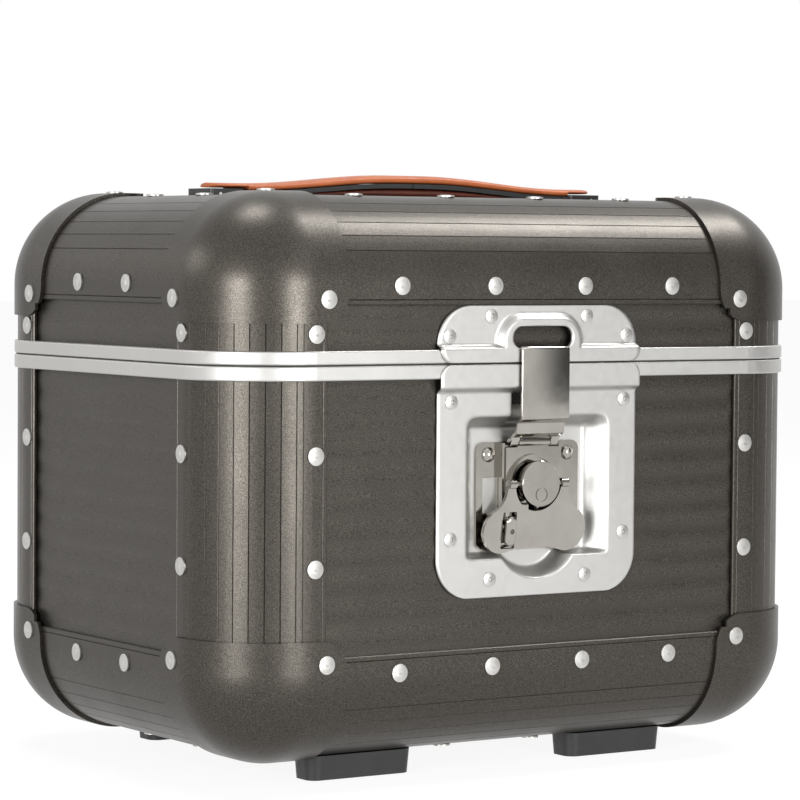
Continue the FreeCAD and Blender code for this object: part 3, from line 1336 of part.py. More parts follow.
def foot_screws():
    length = FOOT_HEIGHT - FOOT_SCREW_RECESS - SCREW_HEAD_HEIGHT / 2 + TAIL_DEPTH
    drawn = screw(SCREW_HEAD_RADIUS, SCREW_HEAD_HEIGHT, length)
    return [placed_on(face, drawn, x, y, FOOT_SCREW_RECESS - FOOT_HEIGHT)
            for face, x, y in foot_screw_places()]


# ---- handle ------------------------------------------------------------------------------------

def handle_rise(x):
    """How far the handle has risen at x, from 0 at its ends to 1 at its middle."""
    span = HANDLE_RISE_START - HANDLE_RISE_END
    share = min(max((HANDLE_RISE_START - abs(x)) / span, 0.0), 1.0)
    return (1 - math.cos(math.pi * share)) / 2


def core_bottom(x):
    return CORE_END_BOTTOM + (CORE_MIDDLE_BOTTOM - CORE_END_BOTTOM) * handle_rise(x)


def core_top(x):
    return core_bottom(x) + CORE_THICKNESS


def grip_bottom(x):
    return core_top(x) + LEATHER_GAP


def grip_top(x):
    return GRIP_END_HEIGHT + (GRIP_MIDDLE_HEIGHT - GRIP_END_HEIGHT) * handle_rise(x)


def pad_top(x):
    return core_bottom(x) - LEATHER_GAP


def handle_curve(side, height_at, x0, x1):
    """A smooth edge on the handle's side view."""
    points = []
    for index in range(HANDLE_CURVE_POINTS):
        x = x0 + (x1 - x0) * index / (HANDLE_CURVE_POINTS - 1)
        points.append(Vector(side * x, 0, TOP_Z + height_at(x)))
    curve = Part.BSplineCurve()
    curve.interpolate(points)
    return curve.toShape()


def side_view(side, edges, points, width):
    """Close a curve chain with straight runs through points and give it a width."""
    corners = [Vector(side * x, 0, TOP_Z + z) for x, z in points]
    edges += [line(start, end) for start, end in zip(corners, corners[1:])]
    face = face_of(edges)
    face.translate(Vector(0, -width / 2, 0))
    return face.extrude(Y_AXIS * width)


def anchor_inner_end():
    return ANCHOR_HALF_LENGTH - ANCHOR_LENGTH


def handle_core(side):
    """Half of the sprung core: a strip, and a lug that turns on the anchor's pin."""
    inner = HANDLE_MIDDLE_GAP / 2
    outer = anchor_inner_end() - LUG_CLEARANCE
    edges = [handle_curve(side, core_bottom, inner, outer),
             handle_curve(side, core_top, inner, outer)]
    edges.append(line(Vector(side * inner, 0, TOP_Z + core_bottom(inner)),
                      Vector(side * inner, 0, TOP_Z + core_top(inner))))
    strip = side_view(side, edges, [(outer, core_bottom(outer)), (outer, core_top(outer))],
                      CORE_WIDTH)
    lug_half = ANCHOR_SLOT_WIDTH / 2 - LUG_CLEARANCE
    x0, x1 = sorted((side * (outer - LUG_LAP), side * HANDLE_PIN_X))
    lug = block(x0, x1, -lug_half, lug_half, TOP_Z + core_bottom(outer), TOP_Z + core_top(outer))
    eye = pin_across(Y_AXIS, handle_pin_centre(side), LUG_EYE_RADIUS, 2 * lug_half)
    hole = pin_across(Y_AXIS, handle_pin_centre(side), HANDLE_PIN_RADIUS + RUNNING_CLEARANCE,
                      CORE_WIDTH)
    return strip.fuse(lug).fuse(eye).cut(hole).removeSplitter().Solids[0]


def handle_grip(side):
    """Half of the leather: the upper strip, and the padding under the core."""
    inner = HANDLE_MIDDLE_GAP / 2
    step = anchor_inner_end() - LUG_CLEARANCE
    end = GRIP_HALF_LENGTH
    over_anchor = ANCHOR_HEIGHT + LEATHER_ABOVE_ANCHOR
    edges = [handle_curve(side, grip_bottom, inner, step),
             handle_curve(side, grip_top, inner, HANDLE_RISE_START)]
    edges.append(line(Vector(side * inner, 0, TOP_Z + grip_bottom(inner)),
                      Vector(side * inner, 0, TOP_Z + grip_top(inner))))
    outline = [(step, grip_bottom(step)), (step, over_anchor), (end, over_anchor),
               (end, GRIP_END_HEIGHT), (HANDLE_RISE_START, GRIP_END_HEIGHT)]
    strip = side_view(side, edges, outline, GRIP_WIDTH)
    strip = round_edges(strip, GRIP_END_RADIUS, lambda edge: runs_along(edge, Z_AXIS)
                        and abs(abs(edge_middle(edge).x) - end) < MATCH_TOLERANCE)
    edges = [handle_curve(side, pad_top, inner, PADDING_END)]
    outline = [(PADDING_END, pad_top(PADDING_END)), (BELLY_HALF_LENGTH, BELLY_BOTTOM),
               (inner, BELLY_BOTTOM), (inner, pad_top(inner))]
    return [strip.Solids[0], side_view(side, edges, outline, BELLY_WIDTH).Solids[0]]


def handle_pin_centre(side):
    return Vector(side * HANDLE_PIN_X, 0, TOP_Z + HANDLE_PIN_HEIGHT)


def handle_pin(side):
    return pin_across(Y_AXIS, handle_pin_centre(side), HANDLE_PIN_RADIUS, ANCHOR_WIDTH)


def handle_anchor(side):
    """A block on the lid's top panel; on the right the pin's hole is a slot."""
    x0, x1 = sorted((side * anchor_inner_end(), side * ANCHOR_HALF_LENGTH))
    half_y = ANCHOR_WIDTH / 2
    seat = TOP_Z - PANEL_DEPTH
    top = TOP_Z + ANCHOR_HEIGHT
    body = rounded_slab(x0, x1, -half_y, half_y, ANCHOR_CORNER_RADIUS, seat, top)
    slot_end = HANDLE_PIN_X + LUG_EYE_RADIUS + LUG_CLEARANCE
    x0, x1 = sorted((side * (anchor_inner_end() - CUT_MARGIN), side * slot_end))
    body = body.cut(block(x0, x1, -ANCHOR_SLOT_WIDTH / 2, ANCHOR_SLOT_WIDTH / 2,
                          seat - CUT_MARGIN, top + CUT_MARGIN))
    radius = HANDLE_PIN_RADIUS + RUNNING_CLEARANCE
    body = body.cut(pin_across(Y_AXIS, handle_pin_centre(side), radius, 2 * ANCHOR_WIDTH))
    if side > 0:
        centre = handle_pin_centre(side)
        far = centre - X_AXIS * HANDLE_SLIDE
        body = body.cut(pin_across(Y_AXIS, far, radius, 2 * ANCHOR_WIDTH))
        body = body.cut(block(far.x, centre.x, -ANCHOR_WIDTH, ANCHOR_WIDTH, centre.z - radius,
                              centre.z + radius))
    for _, x, y in anchor_screw_places():
        if x * side > 0:
            shank = cylinder(Z_AXIS, Vector(x, y, seat - CUT_MARGIN),
                             SCREW_SHANK_RADIUS + HOLE_CLEARANCE, 2 * ANCHOR_LENGTH)
            bore = cylinder(Z_AXIS, Vector(x, y, top - ANCHOR_SCREW_HEAD_HEIGHT),
                            ANCHOR_SCREW_HEAD_RADIUS + HOLE_CLEARANCE, ANCHOR_LENGTH)
            body = body.cut(shank).cut(bore)
    return body.removeSplitter().Solids[0]


def handle_screws():
    length = ANCHOR_HEIGHT + TAIL_DEPTH - ANCHOR_SCREW_HEAD_HEIGHT / 2
    drawn = screw(ANCHOR_SCREW_HEAD_RADIUS, ANCHOR_SCREW_HEAD_HEIGHT, length)
    return [placed_on(face, drawn, x, y, -ANCHOR_HEIGHT) for face, x, y in anchor_screw_places()]


# ---- inside ------------------------------------------------------------------------------------

def lining(lid):
    """A moulded liner that follows the shell's round edges."""
    solid = case_tub(LINING_INSET, lid).cut(case_tub(LINING_INSET + LINING_THICKNESS, lid))
    z0 = SEAM_Z + LINING_SEAM_GAP if lid else 0
    z1 = TOP_Z if lid else SEAM_Z - LINING_SEAM_GAP
    solid = solid.common(block(-HALF_X, HALF_X, -HALF_Y, HALF_Y, z0, z1))
    if not lid:
        solid = solid.cut(cover_prism(COVER_WALL, 0, COVER_FACE_DEPTH))
    return solid.Solids[0]


def cover_prism(inset, depth0, depth1):
    half = COVER_HALF_WIDTH - inset
    face = rounded_face(on_front(depth0), (-half, inset - COVER_BOTTOM_BELOW_SEAM),
                        (half, -COVER_TOP_BELOW_SEAM - inset), [COVER_RADIUS - inset] * 4)
    return face.extrude(Y_AXIS * (depth1 - depth0))


def latch_cover():
    """The inner cover over the back of the pocket, with a flange on the lining."""
    seat = LINING_INSET + LINING_THICKNESS + PLATE_TO_FRAME
    flange = cover_prism(-COVER_FLANGE, seat, seat + COVER_WALL)
    body = flange.fuse(cover_prism(0, seat, COVER_FACE_DEPTH))
    hollow = cover_prism(COVER_WALL, seat - CUT_MARGIN, COVER_FACE_DEPTH - COVER_WALL)
    inside = case_tub(seat, False)
    return body.cut(hollow).common(inside).removeSplitter().Solids[0]


def inner_half_x():
    return HALF_X - LINING_INSET - LINING_THICKNESS


def inner_half_y():
    return HALF_Y - LINING_INSET - LINING_THICKNESS


def tray():
    """A lift-out tray that slides on the ledges, with a row of cells."""
    half_x = inner_half_x() - TRAY_SIDE_CLEARANCE
    rear = inner_half_y() - TRAY_SIDE_CLEARANCE
    front_y = rear - TRAY_DEPTH
    rear_radius = EDGE_RADIUS - LINING_INSET - LINING_THICKNESS - TRAY_SIDE_CLEARANCE
    bottom = SEAM_Z - TRAY_BELOW_SEAM - TRAY_HEIGHT

    def slab(inset, z0, z1):
        radii = [TRAY_FRONT_RADIUS - inset, rear_radius - inset]
        face = rounded_face(in_plan(z0), (inset - half_x, front_y + inset),
                            (half_x - inset, rear - inset), radii + radii[::-1])
        return face.extrude(Z_AXIS * (z1 - z0))

    hollow = slab(TRAY_WALL, bottom + TRAY_WALL, bottom + TRAY_HEIGHT + CUT_MARGIN)
    cell = 2 * half_x / TRAY_CELLS
    for index in range(1, TRAY_CELLS):
        middle = index * cell - half_x
        hollow = hollow.cut(block(middle - TRAY_WALL / 2, middle + TRAY_WALL / 2, -HALF_Y, HALF_Y,
                                  bottom, SEAM_Z))
    return slab(0, bottom, bottom + TRAY_HEIGHT).cut(hollow).Solids[0]


def tray_ledges():
    top = SEAM_Z - TRAY_BELOW_SEAM - TRAY_HEIGHT - LEDGE_CLEARANCE
    ledges = []
    for side in (-1, 1):
        wall = inner_half_x() - PLATE_TO_FRAME
        x0, x1 = sorted((side * (wall - LEDGE_WIDTH), side * wall))
        half_y = HALF_Y - EDGE_RADIUS
        ledges.append(block(x0, x1, -half_y, half_y, top - LEDGE_HEIGHT, top))
    return ledges


def mirror_slab(border, z0, z1):
    half_x = MIRROR_LENGTH / 2 + border
    half_y = MIRROR_WIDTH / 2 + border
    return rounded_slab(-half_x, half_x, -half_y, half_y, MIRROR_CORNER_RADIUS + border, z0, z1)


def mirror_frame():
    top = TOP_Z - LINING_INSET - LINING_THICKNESS - PLATE_TO_FRAME
    bottom = top - MIRROR_FRAME_THICKNESS
    body = mirror_slab(MIRROR_FRAME_BORDER, bottom, top)
    body = body.cut(mirror_slab(HOLE_CLEARANCE, bottom + MIRROR_LIP_THICKNESS,
                                top + CUT_MARGIN))
    return body.cut(mirror_slab(-MIRROR_LIP, bottom - CUT_MARGIN, top)).Solids[0]


def mirror():
    top = TOP_Z - LINING_INSET - LINING_THICKNESS - PLATE_TO_FRAME
    low = top - MIRROR_FRAME_THICKNESS + MIRROR_LIP_THICKNESS + HOLE_CLEARANCE
    return mirror_slab(0, low, low + MIRROR_THICKNESS)


# ---- build -------------------------------------------------------------------------------------

def shell(lid):
    """Write the panels, rails, posts, caps, frame and rivets of one shell."""
    name = "lid" if lid else "base"
    holes = shell_holes(lid)
    front_panel, rear_panel = [drill(wall_panel(face, lid), holes) for face in LONG_WALLS]
    if lid:
        save("lid_panels_long", [front_panel, rear_panel])
        save("lid_panel_top", [drill(cover_panel(TOP), holes)])
    else:
        save("base_panel_front", [front_panel.cut(pocket_opening()).cut(hasp_relief()).Solids[0]])
        save("base_panel_rear", [rear_panel])
        save("base_panel_bottom", [drill(cover_panel(BOTTOM), holes)])
    save(name + "_panels_side", [drill(wall_panel(face, lid), holes) for face in SHORT_WALLS])
    save(name + "_rails_long", [drill(rail, holes) for rail in long_rails(lid)])
    save(name + "_rails_short", [drill(rail, holes) for rail in short_rails(lid)])
    save(name + "_posts", [drill(post, holes) for post in posts(lid)])
    corners = ("front_left", "rear_left", "front_right", "rear_right")
    for corner, cap in zip(corners, caps(lid)):
        save(name + "_cap_" + corner, [drill(cap, holes)])
    save(name + "_frame", [shell_frame(lid)])
    on_flange = dome_rivet(0)
    on_cap = dome_rivet(-CAP_GAP - CAP_THICKNESS)
    on_leaf = dome_rivet(PLATE_FACE_DEPTH)
    rivets = [placed_on(face, on_flange, along, up, 0)
              for face, along, up in rail_rivet_places(lid) + post_rivet_places(lid)]
    rivets += [placed_on(face, on_cap, along, up, -CAP_GAP - CAP_THICKNESS)
               for face, along, up in cap_rivet_places(lid)]
    rivets += [placed_on(face, on_leaf, along, up, PLATE_FACE_DEPTH)
               for face, along, up in hinge_rivet_places(lid)]
    save(name + "_rivets", rivets)


def plate_rivets(places):
    drawn = blind_rivet(PLATE_FACE_DEPTH)
    return [placed_on(face, drawn, along, up, PLATE_FACE_DEPTH) for face, along, up in places]


def build():
    os.makedirs("parts", exist_ok=True)
    shell(False)
    shell(True)
    save("frame_seal", [frame_seal()])
    save("feet", [foot(x, y) for x, y in foot_centres()])
    save("foot_screws", foot_screws())
    save("keeper_plate", [keeper_plate()])
    save("keeper_rivets", plate_rivets(keeper_rivet_places()))
    save("dish_plate", [dish_plate()])
    save("dish_rivets", plate_rivets(dish_rivet_places()))
    save("latch_base_plate", [latch_base_plate()])
    save("latch_plate_rivets", latch_plate_rivets())
    save("latch_carriage", [latch_carriage()])
    save("hasp", [hasp()])
    save("hasp_pin", [hasp_pin()])
    save("latch_rotor", [latch_rotor()])
    save("wing", [wing()])
    save("wing_pin", [wing_pin()])
    save("lock_plug", [lock_plug()])
    save("lock_cam", [lock_cam()])
    save("hinge_base_leaves", [hinge_leaf(side, False) for side in (-1, 1)])
    save("hinge_lid_leaves", [hinge_leaf(side, True) for side in (-1, 1)])
    save("hinge_pins", hinge_pins())
    save("handle_anchors", [handle_anchor(side) for side in (-1, 1)])
    save("handle_screws", handle_screws())
    for word, side in (("left", -1), ("right", 1)):
        save("handle_core_" + word, [handle_core(side)])
        save("handle_grip_" + word, handle_grip(side))
        save("handle_pin_" + word, [handle_pin(side)])
    save("base_lining", [lining(False)])
    save("lid_lining", [lining(True)])
    save("latch_cover", [latch_cover()])
    save("tray_ledges", tray_ledges())
    save("tray", [tray()])
    save("mirror_frame", [mirror_frame()])
    save("mirror", [mirror()])


build()
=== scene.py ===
import json
import math

import bmesh
import bpy
from mathutils import Matrix, Vector

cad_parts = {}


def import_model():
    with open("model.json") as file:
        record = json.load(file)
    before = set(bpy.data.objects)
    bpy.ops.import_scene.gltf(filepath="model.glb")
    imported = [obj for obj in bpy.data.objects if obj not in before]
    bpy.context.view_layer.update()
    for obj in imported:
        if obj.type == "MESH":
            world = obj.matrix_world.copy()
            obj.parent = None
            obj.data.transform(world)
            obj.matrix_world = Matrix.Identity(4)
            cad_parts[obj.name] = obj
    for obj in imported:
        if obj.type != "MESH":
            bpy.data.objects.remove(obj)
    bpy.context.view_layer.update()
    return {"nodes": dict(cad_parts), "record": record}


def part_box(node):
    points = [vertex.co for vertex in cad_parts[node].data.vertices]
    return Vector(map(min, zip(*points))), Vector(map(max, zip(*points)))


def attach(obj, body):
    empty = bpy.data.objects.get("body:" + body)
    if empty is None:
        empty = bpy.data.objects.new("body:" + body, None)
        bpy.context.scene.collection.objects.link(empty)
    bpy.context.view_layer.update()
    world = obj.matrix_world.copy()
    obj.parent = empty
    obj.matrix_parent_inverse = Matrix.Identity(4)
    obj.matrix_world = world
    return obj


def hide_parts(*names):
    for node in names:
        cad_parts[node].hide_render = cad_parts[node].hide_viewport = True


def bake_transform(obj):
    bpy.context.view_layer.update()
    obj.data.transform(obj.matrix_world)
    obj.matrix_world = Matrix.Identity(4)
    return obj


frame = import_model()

# The looks of a riveted beauty case with a butterfly latch and a leather handle. Metres.

MM = 0.001

# ---- places taken from the frame -------------------------------------------------------------

GRIP_LOW, GRIP_HIGH = (Vector(corner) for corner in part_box("handle_grip_left"))
TOP_RAIL_HIGH = Vector(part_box("lid_rails_long")[1])
TOP_Z = TOP_RAIL_HIGH.z

# Handle, with the same sizes as the solids that the leather stands for
GRIP_HALF = -GRIP_LOW.x
GRIP_WIDTH = GRIP_HIGH.y - GRIP_LOW.y
GRIP_END_RADIUS = 9.0 * MM
GRIP_END_HEIGHT = 6.2 * MM
GRIP_MIDDLE_HEIGHT = GRIP_HIGH.z - TOP_Z
GRIP_END_BOTTOM = 3.9 * MM
CORE_THICKNESS = 2.1 * MM
CORE_END_BOTTOM = 0.4 * MM
CORE_MIDDLE_BOTTOM = 5.0 * MM
LEATHER_GAP = 0.1 * MM
RISE_START = 92.0 * MM
RISE_END = 8.0 * MM
BELLY_WIDTH = 19.0 * MM
BELLY_HALF = 50.0 * MM
BELLY_END = 61.0 * MM
BELLY_BOTTOM = 0.9 * MM

# Pressed dish plate, with the same sizes as the solid that it stands for. Heights are counted
# down from the seam, and depths inwards from the plane of the rails.
DISH_LOW, DISH_HIGH = (Vector(corner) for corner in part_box("dish_plate"))
DISH_TOP = 0.35 * MM
SEAM_Z = DISH_HIGH.z + DISH_TOP
DISH_BOTTOM = SEAM_Z - DISH_LOW.z
DISH_HALF = DISH_HIGH.x
DISH_SKIN = 1.2 * MM
RAISED_DEPTH = -2.85 * MM
FACE_Y = DISH_LOW.y - RAISED_DEPTH
PLATE_DEPTH = 0.45 * MM
FLOOR_DEPTH = 10.3 * MM
STEP_START = 10.2 * MM
STEP_END = 13.8 * MM
DISH_TOP_RADIUS = 5.5 * MM
DISH_BOTTOM_RADIUS = 18.0 * MM
POCKET_HALF = 41.8 * MM
POCKET_TOP = 22.0 * MM
POCKET_BOTTOM = 89.2 * MM
SIDE_RUN = 11.5 * MM
TOP_RUN = 9.0 * MM
BOTTOM_RUN = 3.2 * MM
BULGE_CENTRE = 73.7 * MM
BULGE_RADIUS = 25.9 * MM
BULGE_RUN = 7.0 * MM
CHANNEL_HALF = 15.0 * MM
CHANNEL_TOP = 12.6 * MM
CHANNEL_RUN = 1.5 * MM
CHANNEL_DEPTH = 7.2 * MM
LIP_HEIGHT = 0.5 * MM
LIP_SHARE = 0.16
DISH_EDGE_ROUND = 0.5 * MM
DISH_ROWS = 200
DISH_COLUMNS = 168

# Keeper plate, with heights counted up from the seam
KEEPER_LOW, KEEPER_HIGH = (Vector(corner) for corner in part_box("keeper_plate"))
KEEPER_BOTTOM = KEEPER_LOW.z - SEAM_Z
KEEPER_TOP = KEEPER_HIGH.z - SEAM_Z
KEEPER_HALF = KEEPER_HIGH.x
KEEPER_STEP_START = 6.3 * MM
KEEPER_STEP_END = 9.0 * MM
PAD_HALF = 24.6 * MM
PAD_TOP = 23.6 * MM
PAD_RADIUS = 14.0 * MM
PAD_RUN = 4.4 * MM
SLOT_HALF = 16.3 * MM
SLOT_RADIUS = 5.0 * MM
SLOT_CENTRE = 11.6 * MM
SLOT_ROLL = 0.9 * MM
KEEPER_SPACING = 0.7 * MM
KEEPER_RINGS = 44
KEEPER_CROWDING = 1.3
THINNEST_SHEET = 0.2 * MM

# Hasp, in depths from the plane of the rails and heights above the rotor's axis
HASP_HIGH = Vector(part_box("hasp")[1])
ROTOR_Z = HASP_HIGH.z - 62.8 * MM
HASP_HALF = HASP_HIGH.x
HASP_SHEET = 1.4 * MM
HASP_EDGE = 0.22 * MM
HASP_BEND = 1.1 * MM
HASP_CORNERS_MM = ((-3.15, 62.1), (-4.5, 62.1), (-4.5, 30.3), (-1.1, 28.0), (-0.7, 23.4),
                   (2.5, 21.6))
BEND_STEPS = 8
STRAP_CORNER_STEPS = 3
KNUCKLE_DEPTH = 5.0 * MM
KNUCKLE_HEIGHT = 18.8 * MM
KNUCKLE_RADIUS = 1.9 * MM
KNUCKLE_BORE = 0.95 * MM
KNUCKLE_ROUND = 0.3 * MM
KNUCKLE_START = 8.9 * MM
KNUCKLE_SPOKES = 28

# Camera that matches the photograph's view of an 800 x 800 frame
CAMERA_AZIMUTH = -33.38
CAMERA_ELEVATION = 2.547
CAMERA_ROLL = 0.434
CAMERA_DISTANCE = 1.628211
CAMERA_SIDE = 0.000706
CAMERA_HEIGHT = 0.16671
CAMERA_FOCAL_SHARE = 3364.672 / 800.0
SENSOR_WIDTH = 36.0


# ---- node helpers ----------------------------------------------------------------------------

# Most of a noise texture's values lie between these two
NOISE_LOW = 0.3
NOISE_HIGH = 0.7


class Shader:
    """A material with one Principled shader and short calls to add nodes to it."""

    def __init__(self, name):
        self.material = bpy.data.materials.new(name)
        self.material.use_nodes = True
        self.tree = self.material.node_tree
        self.surface = self.tree.nodes["Principled BSDF"]
        coordinates = self.tree.nodes.new("ShaderNodeTexCoord")
        self.position = coordinates.outputs["Object"]

    def set(self, **values):
        for name, value in values.items():
            self.surface.inputs[name.replace("_", " ")].default_value = value
        return self

    def link(self, source, target):
        self.tree.links.new(source, target)

    def node(self, kind, **values):
        node = self.tree.nodes.new("ShaderNode" + kind)
        for name, value in values.items():
            setattr(node, name, value)
        return node

    def stretched(self, scale):
        mapping = self.node("Mapping")
        mapping.inputs["Scale"].default_value = scale
        self.link(self.position, mapping.inputs["Vector"])
        return mapping.outputs["Vector"]

    def noise(self, scale, detail=3.0, vector=None):
        node = self.node("TexNoise")
        node.inputs["Scale"].default_value = scale
        node.inputs["Detail"].default_value = detail
        self.link(vector or self.position, node.inputs["Vector"])
        return node.outputs["Fac"]

    def cells(self, scale):
        node = self.node("TexVoronoi", feature="F1")
        node.inputs["Scale"].default_value = scale
        self.link(self.position, node.inputs["Vector"])
        return node.outputs["Distance"]

    def waves(self, axis, scale):
        node = self.node("TexWave", wave_type="BANDS", bands_direction=axis)
        node.inputs["Scale"].default_value = scale
        self.link(self.position, node.inputs["Vector"])
        return node.outputs["Fac"]

    def math(self, operation, first, second):
        node = self.node("Math", operation=operation)
        for socket, value in zip(node.inputs, (first, second)):
            if isinstance(value, (int, float)):
                socket.default_value = value
            else:
                self.link(value, socket)
        return node.outputs[0]

    def span(self, source, low, high, from_low=NOISE_LOW, from_high=NOISE_HIGH):
        """Map a texture's range to low..high."""
        node = self.node("MapRange")
        for name, value in (("From Min", from_low), ("From Max", from_high),
                            ("To Min", low), ("To Max", high)):
            node.inputs[name].default_value = value
        self.link(source, node.inputs["Value"])
        return node.outputs["Result"]

    def blend(self, factor, first, second):
        """Mix two colours, each a tuple or another node's output."""
        node = self.node("Mix", data_type="RGBA")
        self.link(factor, node.inputs[0])
        for socket, value in zip((node.inputs[6], node.inputs[7]), (first, second)):
            if isinstance(value, tuple):
                socket.default_value = (*value, 1.0)
            else:
                self.link(value, socket)
        return node.outputs[2]

    def colour(self, source):
        self.link(source, self.surface.inputs["Base Color"])

    def roughness(self, source):
        self.link(source, self.surface.inputs["Roughness"])

    def bump(self, height, distance, strength, after=None):
        """Bend the normal by a height field, on top of an earlier bump if there is one."""
        node = self.node("Bump")
        node.inputs["Strength"].default_value = strength
        node.inputs["Distance"].default_value = distance
        self.link(height, node.inputs["Height"])
        if after is not None:
            self.link(after, node.inputs["Normal"])
        self.link(node.outputs["Normal"], self.surface.inputs["Normal"])
        return node.outputs["Normal"]


# ---- materials -------------------------------------------------------------------------------

def body_paint():
    """Bronze-grey paint full of fine metal flakes."""
    shader = Shader("body_paint").set(Metallic=0.85)
    flakes = shader.span(shader.noise(2400.0, 1.0), 0.0, 1.0, 0.36, 0.70)
    grain = shader.blend(flakes, (0.032, 0.0285, 0.0245), (0.102, 0.0925, 0.080))
    clouds = shader.span(shader.noise(9.0, 4.0), 0.0, 0.22)
    shader.colour(shader.blend(clouds, grain, (0.070, 0.064, 0.0555)))
    shader.roughness(shader.span(shader.noise(38.0, 5.0), 0.33, 0.39))
    shader.bump(shader.noise(2300.0, 1.0), 0.035 * MM, 0.7)
    return shader.material


def satin_plate():
    shader = Shader("satin_plate").set(Metallic=1.0)
    shader.colour(shader.blend(shader.span(shader.noise(14.0), 0.0, 1.0),
                               (0.47, 0.465, 0.449), (0.51, 0.505, 0.489)))
    shader.roughness(shader.span(shader.noise(300.0, 4.0), 0.40, 0.47))
    shader.bump(shader.noise(1500.0, 2.0), 0.01 * MM, 0.35)
    return shader.material


def rivet_metal():
    shader = Shader("rivet_metal").set(Metallic=1.0)
    shader.colour(shader.blend(shader.span(shader.noise(420.0), 0.0, 1.0),
                               (0.46, 0.452, 0.432), (0.54, 0.532, 0.512)))
    shader.roughness(shader.span(shader.noise(900.0), 0.36, 0.46))
    shader.bump(shader.noise(1200.0), 0.02 * MM, 0.4)
    return shader.material


def latch_chrome():
    shader = Shader("latch_chrome").set(Metallic=1.0)
    # The chrome's colour is darker and warmer than bare chrome: partly its own tone, partly a
    # painted reflection of dark surroundings.
    shader.colour(shader.blend(shader.span(shader.noise(60.0), 0.0, 1.0),
                               (0.36, 0.342, 0.312), (0.43, 0.412, 0.38)))
    shader.roughness(shader.span(shader.noise(160.0, 5.0), 0.07, 0.15))
    shader.bump(shader.noise(90.0), 0.03 * MM, 0.3)
    return shader.material


def hardware_steel():
    shader = Shader("hardware_steel").set(Metallic=1.0)
    streaks = shader.noise(1.0, 4.0, shader.stretched((120.0, 1400.0, 1400.0)))
    shader.colour(shader.blend(streaks, (0.46, 0.46, 0.46), (0.64, 0.64, 0.63)))
    shader.roughness(shader.span(streaks, 0.24, 0.38))
    shader.bump(streaks, 0.01 * MM, 0.4)
    return shader.material


def black_plastic():
    shader = Shader("black_plastic").set(Specular_IOR_Level=0.45)
    shader.colour(shader.blend(shader.noise(120.0), (0.013, 0.013, 0.014),
                               (0.026, 0.026, 0.027)))
    shader.roughness(shader.span(shader.noise(500.0), 0.34, 0.5))
    shader.bump(shader.noise(2200.0, 2.0), 0.02 * MM, 0.5)
    return shader.material


def leather(name, pale, dark, pore_scale):
    shader = Shader(name).set(Specular_IOR_Level=0.42)
    mottle = shader.span(shader.noise(70.0, 5.0), 0.0, 1.0)
    shader.colour(shader.blend(mottle, dark, pale))
    shader.roughness(shader.span(shader.noise(240.0, 4.0), 0.36, 0.54))
    pores = shader.bump(shader.cells(pore_scale), 0.09 * MM, 0.7)
    shader.bump(shader.noise(190.0, 6.0), 0.18 * MM, 0.45, after=pores)
    return shader.material


def stitch_thread():
    shader = Shader("stitch_thread").set(Roughness=0.7)
    twist = shader.noise(3200.0, 2.0)
    shader.colour(shader.blend(twist, (0.52, 0.23, 0.09), (0.70, 0.38, 0.18)))
    shader.bump(twist, 0.05 * MM, 0.6)
    return shader.material


def seal_rubber():
    shader = Shader("seal_rubber")
    shader.colour(shader.blend(shader.noise(300.0), (0.008, 0.008, 0.008),
                               (0.018, 0.018, 0.018)))
    shader.roughness(shader.span(shader.noise(600.0), 0.6, 0.8))
    shader.bump(shader.noise(1500.0), 0.03 * MM, 0.5)
    return shader.material


def lining_fabric():
    shader = Shader("lining_fabric").set(Sheen_Weight=0.25)
    threads = shader.math("MULTIPLY", shader.waves("DIAGONAL", 240.0), shader.waves("Z", 260.0))
    shader.colour(shader.blend(threads, (0.030, 0.026, 0.024), (0.085, 0.076, 0.070)))
    shader.roughness(shader.span(shader.noise(90.0), 0.78, 0.95))
    weave = shader.bump(threads, 0.12 * MM, 0.8)
    shader.bump(shader.noise(35.0), 0.35 * MM, 0.3, after=weave)
    return shader.material


def mirror_glass():
    shader = Shader("mirror_glass").set(Metallic=1.0)
    shader.colour(shader.blend(shader.noise(20.0), (0.84, 0.86, 0.86), (0.90, 0.91, 0.91)))
    shader.roughness(shader.span(shader.noise(40.0, 5.0), 0.015, 0.04))
    return shader.material


MATERIALS = {
    "body_paint": body_paint(),
    "satin_plate": satin_plate(),
    "rivet_metal": rivet_metal(),
    "latch_chrome": latch_chrome(),
    "hardware_steel": hardware_steel(),
    "black_plastic": black_plastic(),
    "cognac_leather": leather("cognac_leather", (0.47, 0.125, 0.034), (0.36, 0.082, 0.020),
                              1300.0),
    # The padding is the grip's cognac leather, given a far darker colour as painted shade for its
    # place under the strap.
    "padding_leather": leather("padding_leather", (0.115, 0.024, 0.012), (0.075, 0.015, 0.008),
                               1100.0),
    "tray_shell": leather("tray_shell", (0.075, 0.062, 0.055), (0.050, 0.041, 0.036), 1000.0),
    "seal_rubber": seal_rubber(),
    "lining_fabric": lining_fabric(),
    "mirror_glass": mirror_glass(),
    "stitch_thread": stitch_thread(),
}


EDGE_BREAKS = {"caps": 0.45 * MM, "feet": 0.8 * MM, "handle_anchors": 0.4 * MM,
               "latch_carriage": 0.2 * MM, "latch_base_plate": 0.2 * MM, "wing": 0.3 * MM}
EDGE_BREAK_ANGLE = math.radians(50.0)
SHARP_ANGLE = math.radians(42.0)


def paint_frame():
    """Give every CAD node the material of its slot."""
    for part in frame["record"]["subparts"]:
        node = frame["nodes"][part["node"]]
        if not node.material_slots:
            node.data.materials.append(None)
        for slot in node.material_slots:
            slot.material = MATERIALS[part["material_slot"]]


def soften_edges():
    """Break the sharp edges of the caps, the feet and the anchors, as on the real pieces."""
    for name, node in frame["nodes"].items():
        width = EDGE_BREAKS.get("caps" if "_cap_" in name else name)
        if width:
            bevel = node.modifiers.new("edge_break", "BEVEL")
            bevel.width = width
            bevel.segments = 2
            bevel.limit_method = "ANGLE"
            bevel.angle_limit = EDGE_BREAK_ANGLE
            bevel.use_clamp_overlap = True


# ---- mesh helpers ----------------------------------------------------------------------------

